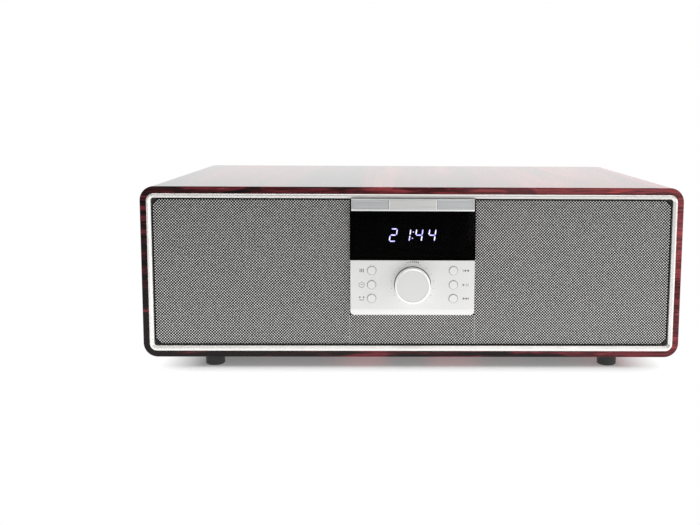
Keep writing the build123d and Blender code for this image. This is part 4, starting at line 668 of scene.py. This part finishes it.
# ------------------------------------------------------------------ clock display
# A smoked acrylic window over a black carrier. Behind it the display block shows the
# time in slanted white segments.
smoked, smoked_shader = bare_finish("smoked_acrylic", (52, 52, 57), 0.0)
smoked_shader.inputs["Transmission Weight"].default_value = 1.0
smoked_shader.inputs["IOR"].default_value = 1.10
smoked_film = pattern(smoked_shader, (40, 40, 40))
colours(smoked_shader, smoked_film, [(0.3, (49, 49, 54)), (0.7, (55, 55, 60))])
display_black = fine_finish("display_black", (5, 5, 8), (8, 8, 12), 0.5, (500, 500, 500), 0.00001)
matt_black = fine_finish("matt_black", (6, 6, 7), (10, 10, 11), 0.8, (700, 700, 700), 0.00003)
dress("display_window", smoked)
dress("window_carrier", matt_black)
dress("clock_display", display_black)

lit_finish, lit_shader = bare_finish("lit_segment", (230, 230, 255), 0.5)
lit_shader.inputs["Emission Strength"].default_value = 46.0
lit_tree = lit_finish.node_tree
glow = lit_tree.nodes.new("ShaderNodeValToRGB")
glow.color_ramp.elements[0].position = 0.45
glow.color_ramp.elements[0].color = (0.50, 0.48, 1.0, 1)
glow.color_ramp.elements[1].position = 0.60
glow.color_ramp.elements[1].color = (0.94, 0.94, 1.0, 1)
lit_tree.links.new(pattern(lit_shader, (210, 210, 210)), glow.inputs["Fac"])
lit_tree.links.new(glow.outputs["Color"], lit_shader.inputs["Emission Color"])

digit_high = 0.0142
digit_wide = 0.0077
digit_slant = math.tan(math.radians(8))
digit_z = 0.1426
stroke = 0.00118
stroke_gap = 0.0005
stroke_thick = 0.00015
digit_middles = {"2": (-0.0204,), "1": (-0.0062,), "4": (0.0065, 0.0202)}
segment_sets = {"1": "bc", "2": "abged", "4": "fgbc"}
colon_x = 0.0001
colon_half = 0.0033
colon_dot = 0.00055


def display_stroke(mesh, start, end):
    """A segment with pointed ends between two (x, z) points."""
    start, end = Vector(start), Vector(end)
    along = (end - start).normalized()
    aside = Vector((-along.y, along.x)) * stroke / 2
    start = start + along * stroke_gap
    end = end - along * stroke_gap
    tip = along * stroke / 2
    corners = [start, start + tip + aside, end - tip + aside, end, end - tip - aside, start + tip - aside]
    flat_shape(mesh, [tuple(corner) for corner in corners], stroke_thick)


digits = bmesh.new()
side_x = digit_wide / 2 - stroke / 2
end_z = digit_high / 2 - stroke / 2
segment_ends = {
    "a": ((-side_x, end_z), (side_x, end_z)), "b": ((side_x, end_z), (side_x, 0)),
    "c": ((side_x, 0), (side_x, -end_z)), "d": ((-side_x, -end_z), (side_x, -end_z)),
    "e": ((-side_x, 0), (-side_x, -end_z)), "f": ((-side_x, end_z), (-side_x, 0)),
    "g": ((-side_x, 0), (side_x, 0)),
}
for figure, middles in digit_middles.items():
    for middle in middles:
        for segment in segment_sets[figure]:
            ends = [(x + middle, z) for x, z in segment_ends[segment]]
            display_stroke(digits, *ends)
for z in (-colon_half, colon_half):
    dot(digits, colon_x, z, colon_dot, 16, stroke_thick)
for corner in digits.verts:
    corner.co.x += corner.co.z * digit_slant
display_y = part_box("clock_display")[0].y
bmesh.ops.translate(digits, vec=(0, display_y - sunk_in, digit_z), verts=digits.verts)
bmesh.ops.remove_doubles(digits, verts=digits.verts, dist=1e-7)
add_piece("clock_digits", digits, lit_finish, "cabinet")

# ------------------------------------------------------------------ tray front
# The strip on the end of the disc tray: brushed silver, its lower rim painted near-white as a
# highlight. A bare plate with bevelled front edges is glued to the middle of its face; its
# ends carry painted highlights and a painted shadow line runs round its sides and top.
tray_low, tray_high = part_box("tray_front")
face_sunk = 0.0009
lower_rim = 0.0014
brushed, brushed_shader = bare_finish("brushed_silver", (170, 172, 173), 0.36, 0.45)
brush_lines = pattern(brushed_shader, (14, 900, 2600))
brush_tree = brushed.node_tree
# The lower rim is painted near-white: a painted highlight along it.
rim_highlight_or_face = brush_tree.nodes.new("ShaderNodeMath")
rim_highlight_or_face.operation = "MULTIPLY"
brush_tree.links.new(brush_lines, rim_highlight_or_face.inputs[0])
brush_tree.links.new(level(brushed_shader, "Z", tray_low.z + lower_rim, tray_low.z + 1.3 * lower_rim),
                     rim_highlight_or_face.inputs[1])
colours(brushed_shader, rim_highlight_or_face.outputs["Value"],
        [(0.0, (240, 241, 241)), (0.20, (240, 241, 241)), (0.36, (172, 174, 175)), (0.66, (194, 196, 197))])
uneven(brushed_shader, brush_lines, 0.29, 0.43)
relief(brushed_shader, brush_lines, 0.00001)
plate_finish = fine_finish("bare_plate", (196, 196, 194), (207, 207, 205), 0.34, (20, 900, 1800),
                           0.00001, 0.4)
dress("tray_front", brushed)
face_y = tray_low.y + face_sunk
plate_wide = 0.0499
plate_high = 0.0112
plate_thick = 0.0005
plate_down = 0.0009
plate_bevel = 0.0003
plate_edge = 0.00005
plate_z = tray_high.z - plate_down - plate_high / 2
plate = bmesh.new()
bmesh.ops.create_cube(plate, size=1.0)
bmesh.ops.scale(plate, vec=(plate_wide, plate_thick, plate_high), verts=plate.verts)
bmesh.ops.translate(plate, vec=(0, face_y - plate_thick / 2, plate_z), verts=plate.verts)
front_edges = [edge for edge in plate.edges
               if all(end.co.y < face_y - plate_thick * 0.9 for end in edge.verts)]
bmesh.ops.bevel(plate, geom=front_edges, offset=plate_bevel, segments=2, profile=0.5, affect="EDGES",
                material=-1)
add_piece("name_plate", plate, plate_finish, "tray")
# White bars along the plate's ends: painted highlights where its bevels catch the light.
painted_highlight = fine_finish("plate_painted_highlight", (248, 248, 248), (254, 254, 254), 0.3, (900, 900, 900), 0.000002, 0.1)
# A dark line round the plate's sides and top: a painted shadow in the gap at its edge.
plate_shadow = fine_finish("plate_painted_shadow", (70, 71, 72), (84, 85, 86), 0.6, (900, 900, 900), 0.000002)
highlight_bars = bmesh.new()
shadow_line = bmesh.new()
for side in (-1, 1):
    bar(highlight_bars, side * (plate_wide / 2 - 0.0005), plate_z, 0.0006, plate_high - 0.0010, plate_edge)
    bar(shadow_line, side * (plate_wide / 2 + 0.0002), plate_z, 0.0004, plate_high, plate_edge)
bar(shadow_line, 0, plate_z + plate_high / 2 + 0.0002, plate_wide + 0.0008, 0.0004, plate_edge)
bmesh.ops.translate(highlight_bars, vec=(0, face_y - plate_thick + sunk_in, 0), verts=highlight_bars.verts)
bmesh.ops.translate(shadow_line, vec=(0, face_y + sunk_in, 0), verts=shadow_line.verts)
add_piece("plate_painted_highlights", highlight_bars, painted_highlight, "tray")
add_piece("plate_painted_shadow", shadow_line, plate_shadow, "tray")

# ------------------------------------------------------------------ disc loader
# Tray and chassis moulded in dark plastic, gears in white acetal, and the deck, bridge
# and brackets pressed from zinc-plated steel.
tray_plastic = fine_finish("tray_plastic", (44, 44, 46), (56, 56, 58), 0.5, (1200, 1200, 1200), 0.00005)
acetal = fine_finish("white_acetal", (214, 211, 202), (226, 223, 215), 0.4, (350, 350, 350), 0.00002)
dress("disc_tray", tray_plastic)
dress("loader_chassis", black_moulding)
for name in ("drive_gear", "pulley_gear", "motor_pulley", "sled_gear", "disc_clamper"):
    dress(name, acetal)
for name in ("loading_motor", "deck_motors", "traverse_deck", "clamp_bridge", "loader_brackets"):
    dress(name, zinc)
dress("drive_belt", rubber)
dress("guide_rods", steel)
dress("turntable_hub", black_moulding)
dress("optical_pickup", tray_plastic)

# ------------------------------------------------------------------ circuit boards
# Green boards with copper tracks under the mask, black parts and a finned heatsink.
board_green, board_shader = bare_finish("green_mask", (14, 74, 42), 0.3)
board_tree = board_green.node_tree
board_place = board_tree.nodes.new("ShaderNodeTexCoord")
tracks = board_tree.nodes.new("ShaderNodeTexBrick")
tracks.inputs["Scale"].default_value = 90.0
tracks.inputs["Mortar Size"].default_value = 0.03
tracks.inputs["Color1"].default_value = display_colour(12, 70, 38)
tracks.inputs["Color2"].default_value = display_colour(18, 82, 46)
tracks.inputs["Mortar"].default_value = display_colour(52, 128, 72)
board_tree.links.new(board_place.outputs["Object"], tracks.inputs["Vector"])
board_tree.links.new(tracks.outputs["Color"], board_shader.inputs["Base Color"])
relief(board_shader, tracks.outputs["Fac"], 0.00003)
part_black = fine_finish("epoxy_black", (24, 24, 26), (38, 38, 40), 0.5, (300, 300, 300), 0.00003)
fin_metal = fine_finish("extruded_aluminium", (176, 178, 180), (196, 198, 200), 0.32, (600, 40, 600),
                        0.00001, 1.0)
for name in ("front_board", "main_board", "power_board"):
    dress(name, board_green)
dress("front_board_parts", part_black)
dress("board_components", part_black)
dress("amplifier_heatsink", fin_metal)

# ------------------------------------------------------------------ rear panel
# Black painted board with two moulded ports, a jack plate, and a mains plate with a plain
# rocker. Nickel-plated sockets; white and red washers lie round the phono sockets.
nickel = fine_finish("nickel_plate", (190, 188, 180), (208, 206, 198), 0.2, (250, 250, 250), 0.000005, 1.0)
dress("rear_panel", black_board)
for name in ("bass_ports", "jack_plate", "mains_plate", "switch_housing", "power_rocker"):
    dress(name, black_moulding)
for name in ("line_sockets", "microphone_jacks", "usb_socket"):
    dress(name, nickel)
jack_low, jack_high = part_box("jack_plate")
barrel_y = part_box("line_sockets")[1].y
washer_colours = {0.087: ("white_washer", (214, 212, 206), (226, 224, 218)),
                  0.067: ("red_washer", (168, 30, 30), (188, 42, 40))}
phono_x = (0.020, 0.036, 0.052)
# each ring's inner and outer radius, the place of its back, and its thickness
ring_sizes = ((0.0043, 0.0060, jack_high.y, 0.0008), (0.00175, 0.0032, barrel_y, 0.0002))
upright = Matrix.Rotation(math.pi / 2, 3, "X")
for z, (name, dark, light) in washer_colours.items():
    washers = bmesh.new()
    for x in phono_x:
        for inner, outer, back, thick in ring_sizes:
            ring = bmesh.ops.create_circle(washers, segments=32, radius=inner)["verts"]
            bmesh.ops.rotate(washers, cent=(0, 0, 0), matrix=upright, verts=ring)
            bmesh.ops.translate(washers, vec=(x, back, z), verts=ring)
            edges = list({edge for corner in ring for edge in corner.link_edges})
            middle = Vector((x, back, z))
            grown = bmesh.ops.extrude_edge_only(washers, edges=edges)["geom"]
            rim = [item for item in grown if isinstance(item, bmesh.types.BMVert)]
            bmesh.ops.scale(washers, vec=(outer / inner,) * 3, verts=rim, space=Matrix.Translation(-middle))
            faces = list({face for corner in rim for face in corner.link_faces})
            grown = bmesh.ops.extrude_face_region(washers, geom=faces)["geom"]
            raised = [item for item in grown if isinstance(item, bmesh.types.BMVert)]
            bmesh.ops.translate(washers, vec=(0, thick, 0), verts=raised)
    washer_finish = fine_finish(name, dark, light, 0.4, (500, 500, 500), 0.00001)
    add_piece(name, washers, washer_finish, "cabinet")

# ------------------------------------------------------------------ rear print
# White signs and two ruled frames printed on the jack plate round the sockets, and a silver
# rating label with no words on it, only its border, ruled lines and the double square.
white_ink = fine_finish("white_ink", (206, 206, 204), (224, 224, 222), 0.7, (900, 900, 900), 0.000005)
label_foil = fine_finish("label_foil", (168, 169, 170), (182, 183, 184), 0.4, (900, 900, 900),
                         0.000005, 0.5)
rear_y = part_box("rear_panel")[1].y
mains_low, mains_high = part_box("mains_plate")
mains_middle = (mains_low + mains_high) / 2


def ruled_box(mesh, x, z, width, height, line, thick):
    """The four sides of a rectangle, drawn as thin bars."""
    for end in (-1, 1):
        bar(mesh, x, z + end * (height - line) / 2, width, line, thick)
        bar(mesh, x + end * (width - line) / 2, z, line, height - 2 * line, thick)


def face_rearwards(mesh, y):
    """Turns flat shapes that were drawn facing the front to face the rear, at this depth."""
    bmesh.ops.rotate(mesh, cent=(0, 0, 0), matrix=Matrix.Rotation(math.pi, 3, "Z"), verts=mesh.verts)
    bmesh.ops.translate(mesh, vec=(0, y, 0), verts=mesh.verts)


signs = bmesh.new()
sign_line = 0.0005
box_high = 0.0440
for left_x, right_x in ((-0.0345, 0.0105), (0.0125, 0.0595)):
    ruled_box(signs, -(left_x + right_x) / 2, (jack_low.z + jack_high.z) / 2, right_x - left_x,
              box_high, sign_line, ink_thick)
for x in (-0.024, 0.0):
    arc_band(signs, -x, 0.0905, 0.0008, 0.0006, 0, 360, 16, ink_thick)
    bar(signs, -x, 0.0880, 0.0005, 0.0028, ink_thick)
arc_band(signs, 0.048, 0.0585, 0.0012, 0.0005, -50, 50, 6, ink_thick)
arc_band(signs, 0.048, 0.0585, 0.0024, 0.0005, -50, 50, 6, ink_thick)
bar(signs, 0.048, 0.0936, 0.0064, 0.0005, ink_thick)
arrow_head(signs, 0.0520, 0.0936, 0.0018, 0.0018, ink_thick)
face_rearwards(signs, jack_high.y - sunk_in)
add_piece("socket_signs", signs, white_ink, "cabinet")

label_x = -0.170
label_z = 0.0560
label_size = (0.0760, 0.0440)
label_thick = 0.00008
label_margin = 0.0030
label_row = 0.0080
label = bmesh.new()
bar(label, -label_x, label_z, *label_size, label_thick)
face_rearwards(label, rear_y - sunk_in)
add_piece("rating_label", label, label_foil, "cabinet")
label_print = bmesh.new()
ruled_box(label_print, -label_x, label_z, label_size[0] - label_margin, label_size[1] - label_margin,
          0.0004, ink_thick)
for row in range(3):
    bar(label_print, -label_x, label_z + label_row - label_row * row, label_size[0] - 0.0080, 0.0003,
        ink_thick)
for size in (0.0070, 0.0036):
    ruled_box(label_print, -label_x + 0.0290, label_z - 0.0140, size, size, 0.0005, ink_thick)
face_rearwards(label_print, rear_y + 0.00006)
add_piece("rating_print", label_print, print_ink, "cabinet")

# ------------------------------------------------------------------ screws
# Black pan-head screws with a cross recess hold the feet, the rear panel and its plates.
# Inside, plain zinc screws and standoffs hold the boards and the loader.
screw_black = fine_finish("black_screw", (34, 34, 35), (52, 52, 54), 0.35, (600, 600, 600), 0.00001, 0.8)
dress("cabinet_screws", screw_black)
# Each cross recess is drawn as a flat black cross on the head: painted shade in place of the hollow.
recess_painted_shade = fine_finish("recess_painted_shade", (3, 3, 3), (7, 7, 7), 0.8, (900, 900, 900), 0.00001)
head_high = 0.0014
recess_long = 0.0030
recess_wide = 0.0007
recess_thick = 0.00003
rear_places = [(x, z) for x in (-0.270, -0.090, 0.090, 0.270) for z in (0.0255, 0.1785)]
rear_places += [(-0.270, 0.102), (0.270, 0.102)]
plate_places = [(x, z) for x in (-0.0615, 0.0615) for z in (0.0505, 0.1035)]
plate_places += [(mains_middle.x + x, mains_middle.z) for x in (-0.032, 0.032)]
for name, places, back in (("recess_shade_panel", rear_places, rear_y),
                           ("recess_shade_plates", plate_places, jack_high.y)):
    crosses = bmesh.new()
    for x, z in places:
        bar(crosses, -x, z, recess_long, recess_wide, recess_thick)
        bar(crosses, -x, z, recess_wide, recess_long, recess_thick)
    face_rearwards(crosses, back + head_high - sunk_in)
    add_piece(name, crosses, recess_painted_shade, "cabinet")
dress("inner_fasteners", zinc)

# ------------------------------------------------------------------ wiring
# Two speaker leads from the baskets to the main board, and a flat cable between the front
# and main boards, all in the same red insulation.
lead_red = fine_finish("lead_insulation", (120, 22, 22), (146, 32, 30), 0.45, (400, 400, 400), 0.00002)
dress("wiring", lead_red)
